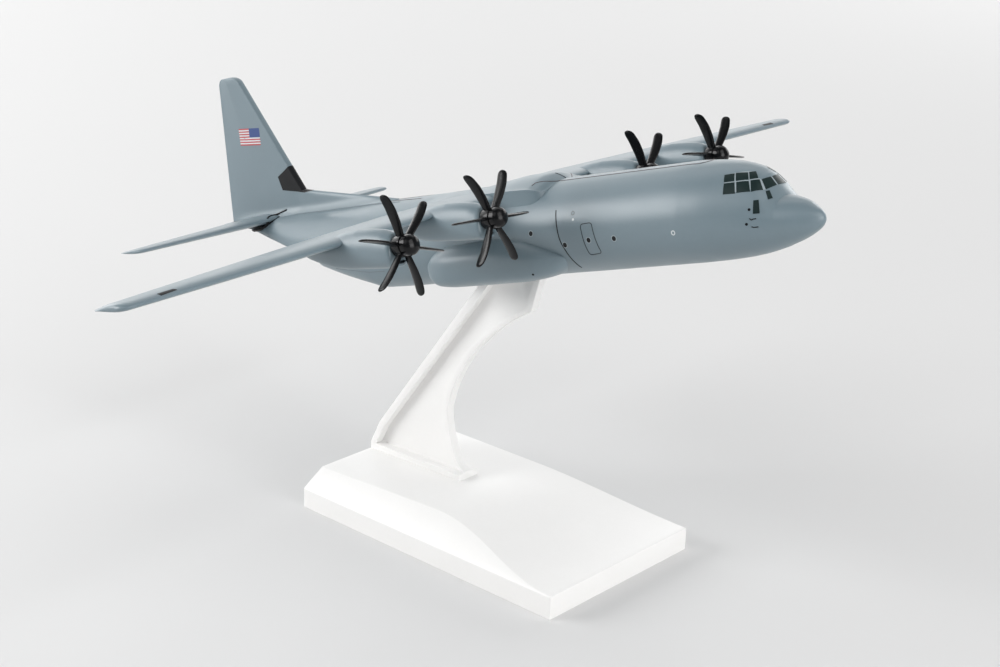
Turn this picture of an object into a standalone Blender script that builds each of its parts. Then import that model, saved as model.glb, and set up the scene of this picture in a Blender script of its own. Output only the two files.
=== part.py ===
"""Scale model of a four-engine transport plane on a display stand.

Metres, +Z up, nose towards +X, port side +Y.
"""
import math

import bmesh
import bpy
from mathutils import Matrix, Vector

# Fit between pieces
GAP = 0.0003                   # between two pieces that seat on each other
SHAFT_CLEARANCE = 0.0002       # between a propeller's shaft and its bore

# Stand
BASE_LENGTH = 0.1000
BASE_WIDTH = 0.0603
BASE_SIDE_HEIGHT = 0.0066      # upright side, and the top's height at the front edge
BASE_REAR_SIDE = 0.0061        # upright side at the rear end
BASE_HIP = 0.0017              # run of the slope from the rear end up to the top
BASE_REAR_HEIGHT = 0.0120
BASE_CREST_HEIGHT = 0.0134
BASE_CREST_X = 0.0             # where the top starts to fall towards the front
BASE_SHOULDER = 0.0076         # width of the sloped shoulder at the crest
ARM_WIDTH = 0.0076             # across the rear rim and the foot
ARM_WEB = 0.0026               # across the plate that stands between them
ARM_RECESS = 0.0003            # how deep the plate's faces lie within the front rim
ARM_REAR_RIM = 0.0021
ARM_FRONT_RIM = 0.0024
ARM_FOOT_RIM = 0.0021
FOOT_REAR_X = -0.0481
FOOT_FRONT_X = -0.0095
FOOT_NOSE = 0.0010             # how far the foot's front face leans back
ARM_BEND = (-0.0441, 0.0222)   # X and Z where the upright rear edge turns to the slope
ARM_WAIST = (-0.0174, 0.0332)  # X and Z of the front edge at its slimmest
SADDLE_REAR = 0.0116           # from the middle of the saddle along the belly
SADDLE_FRONT = 0.0093
SADDLE_LIP_DROP = 0.0100       # from the belly to the lower end of the saddle's front edge
SADDLE_LIP_BACK = 0.0070       # how far that edge slopes back
TAB_LENGTH = 0.0120
TAB_WIDTH = 0.0018
TAB_HEIGHT = 0.0025

# How the plane sits on the stand
SADDLE_X = 0.0094
SADDLE_Z = 0.0817
PITCH_DEG = 16.96              # nose up
SADDLE_STATION = 0.1045        # from the nose, where the belly meets the saddle

# Fuselage
FUSELAGE_LENGTH = 0.2283
FUSELAGE_RADIUS = 0.0143
BELLY_DEPTH = 0.0114           # below the fuselage's axis
NOSE_LENGTH = 0.0347
TAIL_LENGTH = 0.0847           # upswept rear, from the end of the constant section
FUSELAGE_SIDES = 36
TAIL_CONE = 0.0047             # small cone behind the fin's foot
FUSELAGE_POWERS = (2.0, 2.3)   # of the superellipse in the upper and the lower half of a section

# Wing
SPAN = 0.2677
ROOT_CHORD = 0.0297
TIP_CHORD = 0.0141
WING_STATION = 0.0979          # leading edge at the root
WING_SWEEP = 0.0016            # how much further back the leading edge is at the tip
WING_HEIGHT = 0.0122           # chord line above the fuselage's axis
WING_DROOP = 0.0017            # how much lower the tip is
WING_KINK_Y = 0.0343           # chord and height are constant inboard of this
ROOT_THICKNESS = 0.095         # shares of chord
MIDDLE_THICKNESS = 0.135
TIP_THICKNESS = 0.155
WING_CAMBER = 0.02
WING_CAP = 0.0028              # rounded end of the tip
CENTRE_HALF_WIDTH = 0.0108     # half the width of the fairing on the fuselage's back
CENTRE_FRONT = 0.0807
CENTRE_REAR = 0.1350
CENTRE_CROWN = 0.0164          # highest point, above the fuselage's axis
CENTRE_SHOULDER = 0.0138       # top of its sides
CENTRE_FLOOR = 0.0060

# Nacelles and propellers
INBOARD_Y = 0.0319
OUTBOARD_Y = 0.0640
INBOARD_Z = 0.00957
OUTBOARD_Z = 0.00909
PROP_STATION = 0.0794          # plane of the blades' roots
PROP_RADIUS = 0.0137
SPINNER_RADIUS = 0.0029        # of the part that carries the blades
SPINNER_BACK = 0.0018          # behind the blades' roots
SPINNER_EDGE = 0.0002          # rounding at its back
CAP_RADIUS = 0.0027
CAP_BACK = 0.0012              # ahead of the blades' roots
CAP_STEP = 0.0001              # groove between the cap and the part behind it
CAP_SHOULDER = 0.0024          # where the cap's dome starts, ahead of the blades' roots
SPINNER_NOSE = 0.0045
BLADE_CHORD = 0.0034
BLADE_ROOT_THICKNESS = 0.0011
BLADE_TIP_THICKNESS = 0.0006
SHAFT_RADIUS = 0.0010
SHAFT_LENGTH = 0.0035
BLADES = 6
FIREWALL_STATION = 0.0945      # joint between the cowl and the fairing on the wing
NACELLE_END = 0.1168
NACELLE_HALF_WIDTH = 0.0039
NACELLE_SAG = 0.0008           # how far below half height a nacelle is widest
NACELLE_POWERS = (1.95, 2.6)
NACELLE_SIDES = 20
INTAKE_HALF_WIDTH = 0.0017     # chin intake in the cowl's front
INTAKE_HALF_HEIGHT = 0.0004
INTAKE_DROP = 0.0040           # below the propeller's axis
INTAKE_DEPTH = 0.0020
# How far each propeller's first blade leans to port from straight up, in degrees
PROP_TURNS = {
    "outboard_right": 47.5,
    "inboard_right": 34.6,
    "inboard_left": 42.2,
    "outboard_left": 42.3,
}

# Sponsons
SPONSON_FRONT = 0.0745
SPONSON_REAR = 0.1247
SPONSON_TOP = 0.0022
SPONSON_BOTTOM = -0.0112
SPONSON_HALF_WIDTH = 0.0190    # from the plane's middle to the outer face
SPONSON_POWERS = (2.6, 3.2)
SPONSON_SIDES = 24

# Tail
TAILPLANE_SPAN = 0.1030
TAILPLANE_HEIGHT = 0.0137
TAILPLANE_AHEAD = 0.0274       # leading edge at the root, ahead of the fuselage's end
TAILPLANE_TIP_AHEAD = 0.0202
TAILPLANE_ROOT_CHORD = 0.0264
TAILPLANE_TIP_CHORD = 0.0130
TAILPLANE_THICKNESS = 0.115
TAILPLANE_CAP = 0.0024
FIN_TOP = 0.0596
FIN_OVERHANG = 0.0002          # foot of the rear edge, behind the fuselage's end
FIN_TOP_REAR = 0.0078          # these four are ahead of the fuselage's end
FIN_TOP_FRONT = 0.0170
FIN_BASE_FRONT = 0.0379
DORSAL_FRONT = 0.0798
DORSAL_TOP = 0.0212
FIN_THICKNESS = 0.09
DORSAL_HALF_WIDTH = 0.0011
FIN_CORNER = 0.0022            # height of the rounding at both ends of the fin's top
FIN_FRONT_CORNER = 0.0034      # how far the rounding goes along the top at the front and the rear
FIN_REAR_CORNER = 0.0020
FIN_NOSE = 0.0006              # rounding ahead of the widest part of its front edge

COLOURS = {
    "grey": ((0.33, 0.40, 0.43, 1.0), 0.45),
    "black": ((0.012, 0.012, 0.013, 1.0), 0.25),
    "white": ((0.83, 0.83, 0.82, 1.0), 0.4),
}


def clear_scene():
    for old in list(bpy.data.objects):
        bpy.data.objects.remove(old, do_unlink=True)


def make_collection(name):
    made = bpy.data.collections.new(name)
    bpy.context.scene.collection.children.link(made)
    return made


def material(node, finish):
    colour, roughness = COLOURS[finish]
    made = bpy.data.materials.new(node + "_paint")
    made.use_nodes = True
    shader = made.node_tree.nodes["Principled BSDF"]
    shader.inputs["Base Color"].default_value = colour
    shader.inputs["Roughness"].default_value = roughness
    shader.inputs["Metallic"].default_value = 0.0
    made.diffuse_color = colour
    return made


def add_piece(node, mesh, finish, collection, parent=None):
    made = bpy.data.objects.new(node, mesh)
    collection.objects.link(made)
    made.parent = parent
    made.data.materials.clear()
    made.data.materials.append(material(node, finish))
    return made


def add_cutter(name, mesh, collection, parent=None):
    made = bpy.data.objects.new(name, mesh)
    collection.objects.link(made)
    made.parent = parent
    made.hide_render = True
    made.display_type = "WIRE"
    return made


def boolean(target, tool, operation="DIFFERENCE"):
    step = target.modifiers.new(tool.name, "BOOLEAN")
    step.operation = operation
    step.solver = "EXACT"
    step.object = tool


def loft(name, rings):
    """Closed body through rings of equal point counts, closed by a flat face at each end."""
    shape = bmesh.new()
    loops = [[shape.verts.new(point) for point in ring] for ring in rings]
    count = len(loops[0])
    for first, second in zip(loops, loops[1:]):
        for i in range(count):
            j = (i + 1) % count
            shape.faces.new((first[i], first[j], second[j], second[i]))
    shape.faces.new(loops[0])
    shape.faces.new(loops[-1])
    bmesh.ops.recalc_face_normals(shape, faces=shape.faces)
    mesh = bpy.data.meshes.new(name)
    shape.to_mesh(mesh)
    shape.free()
    mesh.shade_smooth()
    mesh.set_sharp_from_angle(angle=math.radians(35))
    return mesh


def box(name, low, high):
    shape = bmesh.new()
    bmesh.ops.create_cube(shape, size=1.0)
    centre = (Vector(low) + Vector(high)) / 2
    size = Vector(high) - Vector(low)
    for vertex in shape.verts:
        vertex.co = centre + Vector(a * b for a, b in zip(vertex.co, size))
    mesh = bpy.data.meshes.new(name)
    shape.to_mesh(mesh)
    shape.free()
    return mesh


def smooth_value(points, x):
    """Value at x on a smooth curve through (x, value) points, flat past both ends."""
    if x <= points[0][0]:
        return points[0][1]
    if x >= points[-1][0]:
        return points[-1][1]
    slopes = []
    for i in range(len(points)):
        a = points[max(i - 1, 0)]
        b = points[min(i + 1, len(points) - 1)]
        slopes.append((b[1] - a[1]) / (b[0] - a[0]))
    for i in range(len(points) - 1):
        (x0, y0), (x1, y1) = points[i], points[i + 1]
        if x0 <= x <= x1:
            h = x1 - x0
            t = (x - x0) / h
            return ((2 * t ** 3 - 3 * t ** 2 + 1) * y0 + (t ** 3 - 2 * t ** 2 + t) * h * slopes[i]
                    + (3 * t ** 2 - 2 * t ** 3) * y1 + (t ** 3 - t ** 2) * h * slopes[i + 1])
    return points[-1][1]


def mix(a, b, t):
    return a + (b - a) * t


def plane_point(station, y, z):
    """Point in the plane's own frame, whose origin is on the fuselage's axis above the saddle."""
    return Vector((SADDLE_STATION - station, y, z))


def oval(station, half_width, top, bottom, middle, powers, count, side=0.0):
    """Upright ring of a superellipse whose upper and lower halves differ."""
    ring = []
    for i in range(count):
        angle = 2 * math.pi * (i + 0.5) / count
        c, s = math.cos(angle), math.sin(angle)
        power = powers[0] if s > 0 else powers[1]
        reach = (top - middle) if s > 0 else (middle - bottom)
        y = half_width * math.copysign(abs(c) ** (2 / power), c)
        z = middle + reach * math.copysign(abs(s) ** (2 / power), s)
        ring.append(plane_point(station, side + y, z))
    return ring


# Fuselage sections: share of the nose's or tail's length, then top, bottom, half width and widest height.
# Top, half width and widest height are shares of the radius, bottom is a share of the belly's depth.
NOSE_SECTIONS = (
    (0.000, -0.195, -0.290, 0.020, -0.211),
    (0.008, -0.140, -0.360, 0.065, -0.211),
    (0.027, -0.080, -0.430, 0.125, -0.209),
    (0.063, -0.010, -0.515, 0.210, -0.207),
    (0.135, 0.111, -0.625, 0.338, -0.200),
    (0.221, 0.190, -0.725, 0.450, -0.186),
    (0.288, 0.235, -0.783, 0.513, -0.168),
    (0.346, 0.407, -0.835, 0.581, -0.140),
    (0.413, 0.643, -0.878, 0.657, -0.107),
    (0.500, 0.790, -0.924, 0.750, -0.074),
    (0.635, 0.900, -0.965, 0.840, -0.042),
    (0.808, 0.965, -0.990, 0.935, -0.014),
    (1.000, 1.000, -1.000, 1.000, 0.000),
)
TAIL_SECTIONS = (
    (0.000, 1.000, -1.000, 1.000, 0.000),
    (0.118, 1.000, -0.990, 0.990, 0.010),
    (0.180, 1.000, -0.870, 0.975, 0.020),
    (0.290, 1.000, -0.620, 0.930, 0.075),
    (0.385, 1.000, -0.370, 0.870, 0.150),
    (0.392, 1.000, -0.170, 0.865, 0.160),
    (0.530, 1.000, 0.200, 0.765, 0.360),
    (0.674, 1.000, 0.620, 0.630, 0.600),
    (0.824, 1.000, 0.980, 0.420, 0.820),
    (0.940, 0.990, 1.070, 0.260, 0.900),
    (1.000, 0.980, 1.130, 0.140, 0.940),
)
CONE_END = (0.955, 1.165, 0.070, 0.945)


def fuselage_rings(grow):
    stations = [(share * NOSE_LENGTH, row) for share, *row in NOSE_SECTIONS]
    tail_start = FUSELAGE_LENGTH - TAIL_LENGTH
    stations += [(tail_start + share * TAIL_LENGTH, row) for share, *row in TAIL_SECTIONS]
    stations.append((FUSELAGE_LENGTH + TAIL_CONE, CONE_END))
    rings = []
    for station, (top, bottom, width, middle) in stations:
        rings.append(oval(
            station, width * FUSELAGE_RADIUS + grow, top * FUSELAGE_RADIUS + grow,
            bottom * BELLY_DEPTH - grow, middle * FUSELAGE_RADIUS, FUSELAGE_POWERS, FUSELAGE_SIDES))
    return rings


def aerofoil(chord, thickness, camber, points):
    """Closed outline of (distance behind the leading edge, height), from the trailing edge over the top."""
    def half(x):
        return thickness * 5 * (0.2969 * math.sqrt(x) - 0.1260 * x - 0.3516 * x ** 2
                                + 0.2843 * x ** 3 - 0.0950 * x ** 4)
    shares = [(1 - math.cos(math.pi * i / points)) / 2 for i in range(points + 1)]
    upper = [(x * chord, (camber * 4 * x * (1 - x) + half(x)) * chord) for x in reversed(shares)]
    lower = [(x * chord, (camber * 4 * x * (1 - x) - half(x)) * chord) for x in shares[1:]]
    return upper + lower


def aerofoil_ring(station, y, z, chord, thickness, camber, grow=0.0, points=9):
    ring = []
    for back, height in aerofoil(chord + 2 * grow, thickness, camber, points):
        lift = math.copysign(grow, height) if height else 0.0
        ring.append(plane_point(station - grow + back, y, z + height + lift))
    return ring


def build_base(parts, root):
    """Solid base: upright sides, sloped shoulders, a hipped rear end and a top that falls to the front."""
    steps = 18
    rear = -BASE_LENGTH / 2
    rings = [base_ring(rear, BASE_REAR_SIDE + GAP), base_ring(rear + BASE_HIP, base_top(rear + BASE_HIP))]
    for i in range(1, steps + 1):
        x = mix(rear, BASE_LENGTH / 2, i / steps)
        rings.append(base_ring(x, base_top(x)))
    return add_piece("stand_base", loft("stand_base", rings), "white", parts, root)


def base_ring(x, top):
    """Upright section of the base across its length."""
    share = max(top - BASE_SIDE_HEIGHT, 0) / (BASE_CREST_HEIGHT - BASE_SIDE_HEIGHT)
    outer = BASE_WIDTH / 2
    inner = outer - max(BASE_SHOULDER * share, GAP)
    side = mix(BASE_REAR_SIDE, BASE_SIDE_HEIGHT, x / BASE_LENGTH + 0.5)
    return [Vector((x, -outer, 0)), Vector((x, outer, 0)), Vector((x, outer, side)),
            Vector((x, inner, top)), Vector((x, -inner, top)), Vector((x, -outer, side))]


def base_top(x):
    """Height of the base's top at x."""
    front = BASE_SIDE_HEIGHT + GAP
    if x <= BASE_CREST_X:
        share = (x + BASE_LENGTH / 2) / (BASE_CREST_X + BASE_LENGTH / 2)
        return mix(BASE_REAR_HEIGHT, BASE_CREST_HEIGHT, share)
    share = (x - BASE_CREST_X) / (BASE_LENGTH / 2 - BASE_CREST_X)
    return front + (BASE_CREST_HEIGHT - front) * (1 + math.cos(math.pi * share)) / 2


def belly_point(station, below):
    """World X and Z of a point below the belly at a station of the fuselage."""
    pitch = math.radians(PITCH_DEG)
    along = SADDLE_STATION - station
    x = SADDLE_X + along * math.cos(pitch) + below * math.sin(pitch)
    z = SADDLE_Z + along * math.sin(pitch) - below * math.cos(pitch)
    return Vector((x, z))


def side_prism(name, outline, thickness):
    """Flat outline in the X-Z plane, made a closed mesh of the given thickness about Y = 0."""
    curve = bpy.data.curves.new(name, "CURVE")
    curve.dimensions = "2D"
    curve.fill_mode = "BOTH"
    curve.extrude = thickness / 2
    line = curve.splines.new("POLY")
    line.points.add(len(outline) - 1)
    for point, (x, z) in zip(line.points, outline):
        point.co = (x, z, 0, 1)
    line.use_cyclic_u = True
    drawn = bpy.data.objects.new(name + "_curve", curve)
    bpy.context.scene.collection.objects.link(drawn)
    drawn.rotation_euler = (math.pi / 2, 0, 0)
    bpy.context.view_layer.update()
    mesh = bpy.data.meshes.new_from_object(drawn.evaluated_get(bpy.context.evaluated_depsgraph_get()))
    mesh.transform(drawn.matrix_world)
    bpy.data.objects.remove(drawn, do_unlink=True)
    shape = bmesh.new()
    shape.from_mesh(mesh)
    bmesh.ops.remove_doubles(shape, verts=shape.verts, dist=1e-6)
    bmesh.ops.recalc_face_normals(shape, faces=shape.faces)
    shape.to_mesh(mesh)
    shape.free()
    mesh.name = name
    return mesh


def bezier(p0, p1, p2, p3, steps):
    points = []
    for i in range(steps + 1):
        t = i / steps
        points.append(p0 * (1 - t) ** 3 + p1 * 3 * t * (1 - t) ** 2 + p2 * 3 * t ** 2 * (1 - t) + p3 * t ** 3)
    return points


def arm_corners(foot, top):
    """Corners of the arm's rear edge and front lip, with the foot and the top moved in."""
    top_rear = belly_point(SADDLE_STATION + SADDLE_REAR, GAP + top)
    top_front = belly_point(SADDLE_STATION - SADDLE_FRONT, GAP + top)
    lip = belly_point(SADDLE_STATION - SADDLE_FRONT + SADDLE_LIP_BACK, GAP + SADDLE_LIP_DROP)
    heel = Vector((FOOT_REAR_X, base_top(FOOT_REAR_X) + GAP + foot))
    toe = Vector((FOOT_FRONT_X, base_top(FOOT_FRONT_X) + GAP + foot))
    return heel, Vector(ARM_BEND), top_rear, top_front, lip, toe


def arm_front(lip, toe):
    """Curved front edge, from the saddle's lip down past the waist to the foot."""
    waist = Vector(ARM_WAIST)
    reach = (lip - waist).length
    drop = waist.y - toe.y
    under_lip = lip - Vector((0.386, 0.214)) * reach
    above_waist = waist + Vector((0.045, 0.241)) * reach
    below_waist = waist - Vector((0, 0.36)) * drop
    above_toe = toe + Vector((-0.20, 0.07)) * drop
    upper = bezier(lip, under_lip, above_waist, waist, 8)
    lower = bezier(waist, below_waist, above_toe, toe, 5)
    return upper + lower[1:]


def arm_outline(rear, front, foot, top):
    """Outline of the arm's plate, moved in by the given rims."""
    heel, bend, top_rear, top_front, lip, toe = arm_corners(foot, top)
    slope = (top_rear - bend).normalized()
    in_rear = Vector((slope.y, -slope.x)) * rear
    forward = Vector((-front, 0))
    edge = [point + forward for point in arm_front(lip, toe + Vector((-FOOT_NOSE, 0)))]
    return [heel + Vector((rear, 0)), bend + in_rear, top_rear + in_rear, top_front + forward] + edge


def arm_sides():
    """Region in front of the rear rim and above the foot, wider than the plate on every open side."""
    heel, bend, top_rear, top_front, lip, toe = arm_corners(ARM_FOOT_RIM, 0)
    slope = (top_rear - bend).normalized()
    in_rear = Vector((slope.y, -slope.x)) * ARM_REAR_RIM
    past = slope * SADDLE_LIP_DROP
    ahead = Vector((SADDLE_LIP_DROP, 0))
    return [heel + Vector((ARM_REAR_RIM, 0)), bend + in_rear, top_rear + in_rear + past,
            top_front + past + ahead, lip + ahead, toe + ahead]


def cut_both_sides(body, name, outline, width, cutters, root):
    """Take away what lies inside the outline and further than half the width from the middle."""
    for side in (-1, 1):
        mesh = side_prism(name, outline, ARM_WIDTH)
        mesh.transform(Matrix.Translation((0, side * (ARM_WIDTH + width) / 2, 0)))
        boolean(body, add_cutter(name, mesh, cutters, root))


def build_arm(parts, cutters, root):
    """Arm with a foot on the base, a rear rim, and a thin plate between them."""
    outline = arm_outline(0, 0, ARM_FOOT_RIM, 0)
    foot_front = outline[-1]
    outline += [Vector((foot_front.x + FOOT_NOSE / 2, foot_front.y)),
                Vector((FOOT_FRONT_X, base_top(FOOT_FRONT_X) + GAP)),
                Vector((FOOT_REAR_X, base_top(FOOT_REAR_X) + GAP))]
    arm = add_piece("stand_arm", side_prism("stand_arm", outline, ARM_WIDTH), "white", parts, root)
    cut_both_sides(arm, "arm_side", arm_sides(), ARM_WEB, cutters, root)
    recess = arm_outline(ARM_REAR_RIM, ARM_FRONT_RIM, ARM_FOOT_RIM, 0)
    cut_both_sides(arm, "arm_recess", recess, ARM_WEB - 2 * ARM_RECESS, cutters, root)
    return arm


def saddle_tab(grow):
    """Box of the tab that joins the arm to the belly, in the plane's frame."""
    low = plane_point(SADDLE_STATION + TAB_LENGTH / 2, -TAB_WIDTH / 2, -BELLY_DEPTH - ARM_FOOT_RIM / 2)
    high = plane_point(SADDLE_STATION - TAB_LENGTH / 2, TAB_WIDTH / 2, -BELLY_DEPTH + TAB_HEIGHT)
    spread = Vector((grow, grow, grow))
    return box("saddle_tab", low - spread, high + spread)


def centre_rings(grow):
    """Fairing on the fuselage's back, with upright sides and a crowned top."""
    rise = ((0.0, 0.02), (0.03, 0.45), (0.07, 0.87), (0.11, 1.0), (0.23, 0.95), (0.36, 0.67), (0.48, 0.34),
            (0.6, 0.05), (1.0, 0.02))
    width = ((0.0, 0.35), (0.02, 0.75), (0.05, 0.95), (0.1, 1.0), (0.2, 1.0), (0.75, 1.0), (0.8, 0.98),
             (0.93, 0.78), (1.0, 0.35))
    side = ((0.0, 0.02), (0.02, 0.3), (0.05, 0.8), (0.1, 0.95), (0.3, 1.0), (0.7, 0.95), (0.9, 0.4),
            (1.0, 0.02))
    rings = []
    steps = 20
    arc = 10
    for i in range(steps + 1):
        share = (1 - math.cos(math.pi * i / steps)) / 2
        station = mix(CENTRE_FRONT - grow, CENTRE_REAR + grow, share)
        half = CENTRE_HALF_WIDTH * smooth_value(width, share) + grow
        crown = mix(FUSELAGE_RADIUS, CENTRE_CROWN, smooth_value(rise, share)) + grow
        skin = math.sqrt(FUSELAGE_RADIUS ** 2 - half ** 2)
        shoulder = mix(skin, CENTRE_SHOULDER, smooth_value(side, share))
        floor = CENTRE_FLOOR - grow
        ring = [plane_point(station, -half, floor), plane_point(station, half, floor)]
        for k in range(arc + 1):
            y = half * math.cos(math.pi * k / arc)
            height = mix(shoulder, crown, math.sin(math.pi * k / arc) ** 3)
            ring.append(plane_point(station, y, max(height, math.sqrt(FUSELAGE_RADIUS ** 2 - y ** 2) + grow)))
        rings.append(ring)
    return rings


# Rounded end of a wing or tailplane: share of the way out, then shares of the chord and of the thickness
CAP_SECTIONS = (
    (0.00, 1.00, 1.00),
    (0.50, 0.95, 0.96),
    (0.85, 0.80, 0.80),
    (1.00, 0.55, 0.48),
)


def wing_sections():
    """Distance from the middle, leading edge, height, chord and thickness share, root to tip."""
    tip = SPAN / 2
    rows = [(CENTRE_HALF_WIDTH + GAP, 1.0, 1.0)]
    rows += [(mix(WING_KINK_Y, tip, share), 1.0, 1.0) for share in (0.0, 0.25, 0.5, 0.75)]
    rows += [(tip - WING_CAP * (1 - share), wide, thick) for share, wide, thick in CAP_SECTIONS]
    sections = []
    for y, wide, thick in rows:
        out = max(0.0, (y - WING_KINK_Y) / (tip - WING_KINK_Y))
        full = mix(ROOT_CHORD, TIP_CHORD, out)
        chord = full * wide
        lead = WING_STATION + WING_SWEEP * out + (full - chord) * 0.45
        if out < 0.5:
            thickness = mix(ROOT_THICKNESS, MIDDLE_THICKNESS, out * 2)
        else:
            thickness = mix(MIDDLE_THICKNESS, TIP_THICKNESS, out * 2 - 1)
        sections.append((y, lead, WING_HEIGHT - WING_DROOP * out, chord, thickness * thick / wide))
    return sections


def nacelle_ring(station, y, hub_z, half_width, top, bottom):
    middle = hub_z + (top + bottom) / 2 - NACELLE_SAG * half_width / NACELLE_HALF_WIDTH
    return oval(station, half_width, hub_z + top, hub_z + bottom, middle, NACELLE_POWERS, NACELLE_SIDES, y)


# Nacelle sections: share of the way from the propeller's back to the firewall, then share of the
# half width, and top and bottom as shares of the half width
COWL_SECTIONS = (
    (0.00, 0.86, 0.64, -1.28),
    (0.04, 0.92, 0.85, -1.33),
    (0.10, 0.96, 0.96, -1.34),
    (0.30, 1.00, 1.16, -1.33),
    (0.65, 1.00, 1.29, -1.29),
    (1.00, 0.98, 1.34, -1.24),
)
FAIRING_SECTIONS = (
    (0.00, 0.98, 1.34, -1.24),
    (0.20, 0.95, 1.28, -1.18),
    (0.39, 0.86, 1.15, -1.08),
    (0.60, 0.70, 0.95, -0.82),
    (0.80, 0.48, 0.75, -0.50),
    (0.93, 0.28, 0.62, -0.28),
    (1.00, 0.12, 0.55, -0.12),
)


def nacelle_rings(sections, front, rear, y, hub_z):
    w = NACELLE_HALF_WIDTH
    return [nacelle_ring(mix(front, rear, share), y, hub_z, w * wide, w * top, w * bottom)
            for share, wide, top, bottom in sections]


def build_wing(side, name, parts, cutters, plane):
    rings = []
    for y, lead, z, chord, thickness in wing_sections():
        rings.append(aerofoil_ring(lead, side * y, z, chord, thickness, WING_CAMBER))
    wing = add_piece(name, loft(name, rings), "grey", parts, plane)
    for label, y, hub_z in (("inboard", INBOARD_Y, INBOARD_Z), ("outboard", OUTBOARD_Y, OUTBOARD_Z)):
        front = FIREWALL_STATION + GAP
        mesh = loft(label, nacelle_rings(FAIRING_SECTIONS, front, NACELLE_END, side * y, hub_z))
        boolean(wing, add_cutter(name + "_" + label + "_fairing", mesh, cutters, plane), "UNION")
    return wing


def tailplane_at(y):
    """Leading edge and full chord of the tailplane at a distance from the middle."""
    out = abs(y) / (TAILPLANE_SPAN / 2)
    lead = FUSELAGE_LENGTH - mix(TAILPLANE_AHEAD, TAILPLANE_TIP_AHEAD, out)
    return lead, mix(TAILPLANE_ROOT_CHORD, TAILPLANE_TIP_CHORD, out)


def build_tailplane(side, name, parts, plane):
    cap_start = TAILPLANE_SPAN / 2 - TAILPLANE_CAP
    rows = [(GAP / 2, 1.0, 1.0)]
    rows += [(cap_start + TAILPLANE_CAP * share, wide, thick) for share, wide, thick in CAP_SECTIONS]
    rings = []
    for y, wide, thick in rows:
        lead, full = tailplane_at(y)
        chord = full * wide
        lead += (full - chord) * 0.5
        thickness = TAILPLANE_THICKNESS * thick / wide
        rings.append(aerofoil_ring(lead, side * y, TAILPLANE_HEIGHT, chord, thickness, 0.0))
    return add_piece(name, loft(name, rings), "grey", parts, plane)


def tail_cutter(cutters, plane):
    """Room for the tailplane's roots through the tail and under the fin."""
    rings = []
    for y in (-FUSELAGE_RADIUS, 0, FUSELAGE_RADIUS):
        lead, chord = tailplane_at(y)
        rings.append(aerofoil_ring(lead, y, TAILPLANE_HEIGHT, chord, TAILPLANE_THICKNESS, 0.0, GAP))
    return add_cutter("tail_room", loft("tail_room", rings), cutters, plane)


def fin_rings():
    """Level sections of the fin, whose lowest ones run forward as the dorsal spine."""
    base = FUSELAGE_RADIUS + GAP
    rows = [(mix(base, DORSAL_TOP, share), 0.0) for share in (0.0, 0.35, 0.7, 1.0)]
    rows += [(mix(DORSAL_TOP, FIN_TOP, share), 0.0) for share in (0.08, 0.5)]
    for depth in (1.0, 0.5, 0.15, 0.0):
        rows.append((FIN_TOP - FIN_CORNER * depth, 1 - math.sqrt(1 - (1 - depth) ** 2)))
    rings = []
    for z, rounding in rows:
        rear_ahead = mix(-FIN_OVERHANG, FIN_TOP_REAR, (z - base) / (FIN_TOP - base))
        rear_ahead += FIN_REAR_CORNER * rounding
        up = max((z - DORSAL_TOP) / (FIN_TOP - DORSAL_TOP), 0)
        fin_front = FUSELAGE_LENGTH - mix(FIN_BASE_FRONT, FIN_TOP_FRONT, up)
        fin_front += FIN_FRONT_CORNER * rounding
        spine = (DORSAL_FRONT - FIN_BASE_FRONT) * max(0, (DORSAL_TOP - z) / (DORSAL_TOP - base))
        rings.append(fin_section(fin_front - spine, FUSELAGE_LENGTH - rear_ahead, fin_front, z))
    return rings


def fin_section(front, rear, fin_front, z):
    """Level outline: a symmetric aerofoil behind fin_front and a slim spine ahead of it."""
    chord = rear - fin_front
    outline = []
    for back, half in aerofoil(chord, FIN_THICKNESS, 0.0, 8)[:8]:
        wide = half if back > chord / 2 else max(half, DORSAL_HALF_WIDTH)
        outline.append((fin_front + back, max(wide, GAP / 2)))
    for share, wide in ((0.0, 1.0), (0.5, 0.8), (0.9, 0.5), (1.0, 0.15)):
        outline.append((mix(fin_front, front, share) - FIN_NOSE * share, DORSAL_HALF_WIDTH * wide))
    ring = [plane_point(station, half, z) for station, half in outline]
    return ring + [plane_point(station, -half, z) for station, half in reversed(outline)]


def build_fin(parts, plane, tail_room):
    fin = add_piece("tail_fin", loft("tail_fin", fin_rings()), "grey", parts, plane)
    boolean(fin, tail_room)
    return fin


def build_fuselage(parts, cutters, plane, tail_room):
    fuselage = add_piece("fuselage", loft("fuselage", fuselage_rings(0.0)), "grey", parts, plane)
    boolean(fuselage, add_cutter("centre_room", loft("centre_room", centre_rings(GAP)), cutters, plane))
    boolean(fuselage, tail_room)
    boolean(fuselage, add_cutter("tab_room", saddle_tab(GAP), cutters, plane))
    return fuselage


def build_centre(parts, plane):
    return add_piece("wing_centre", loft("wing_centre", centre_rings(0.0)), "grey", parts, plane)


# Sponson sections: share of the length, then share of the bulge outwards, of the height above the
# middle and of the depth below it
SPONSON_SECTIONS = (
    (0.00, 0.02, 0.05, 0.25),
    (0.03, 0.24, 0.18, 0.52),
    (0.09, 0.50, 0.38, 0.78),
    (0.18, 0.76, 0.63, 0.93),
    (0.30, 0.93, 0.88, 1.00),
    (0.46, 1.00, 1.00, 1.00),
    (0.80, 1.00, 0.92, 1.00),
    (0.92, 0.88, 0.78, 0.94),
    (0.98, 0.62, 0.52, 0.75),
    (1.00, 0.35, 0.30, 0.45),
)


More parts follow.
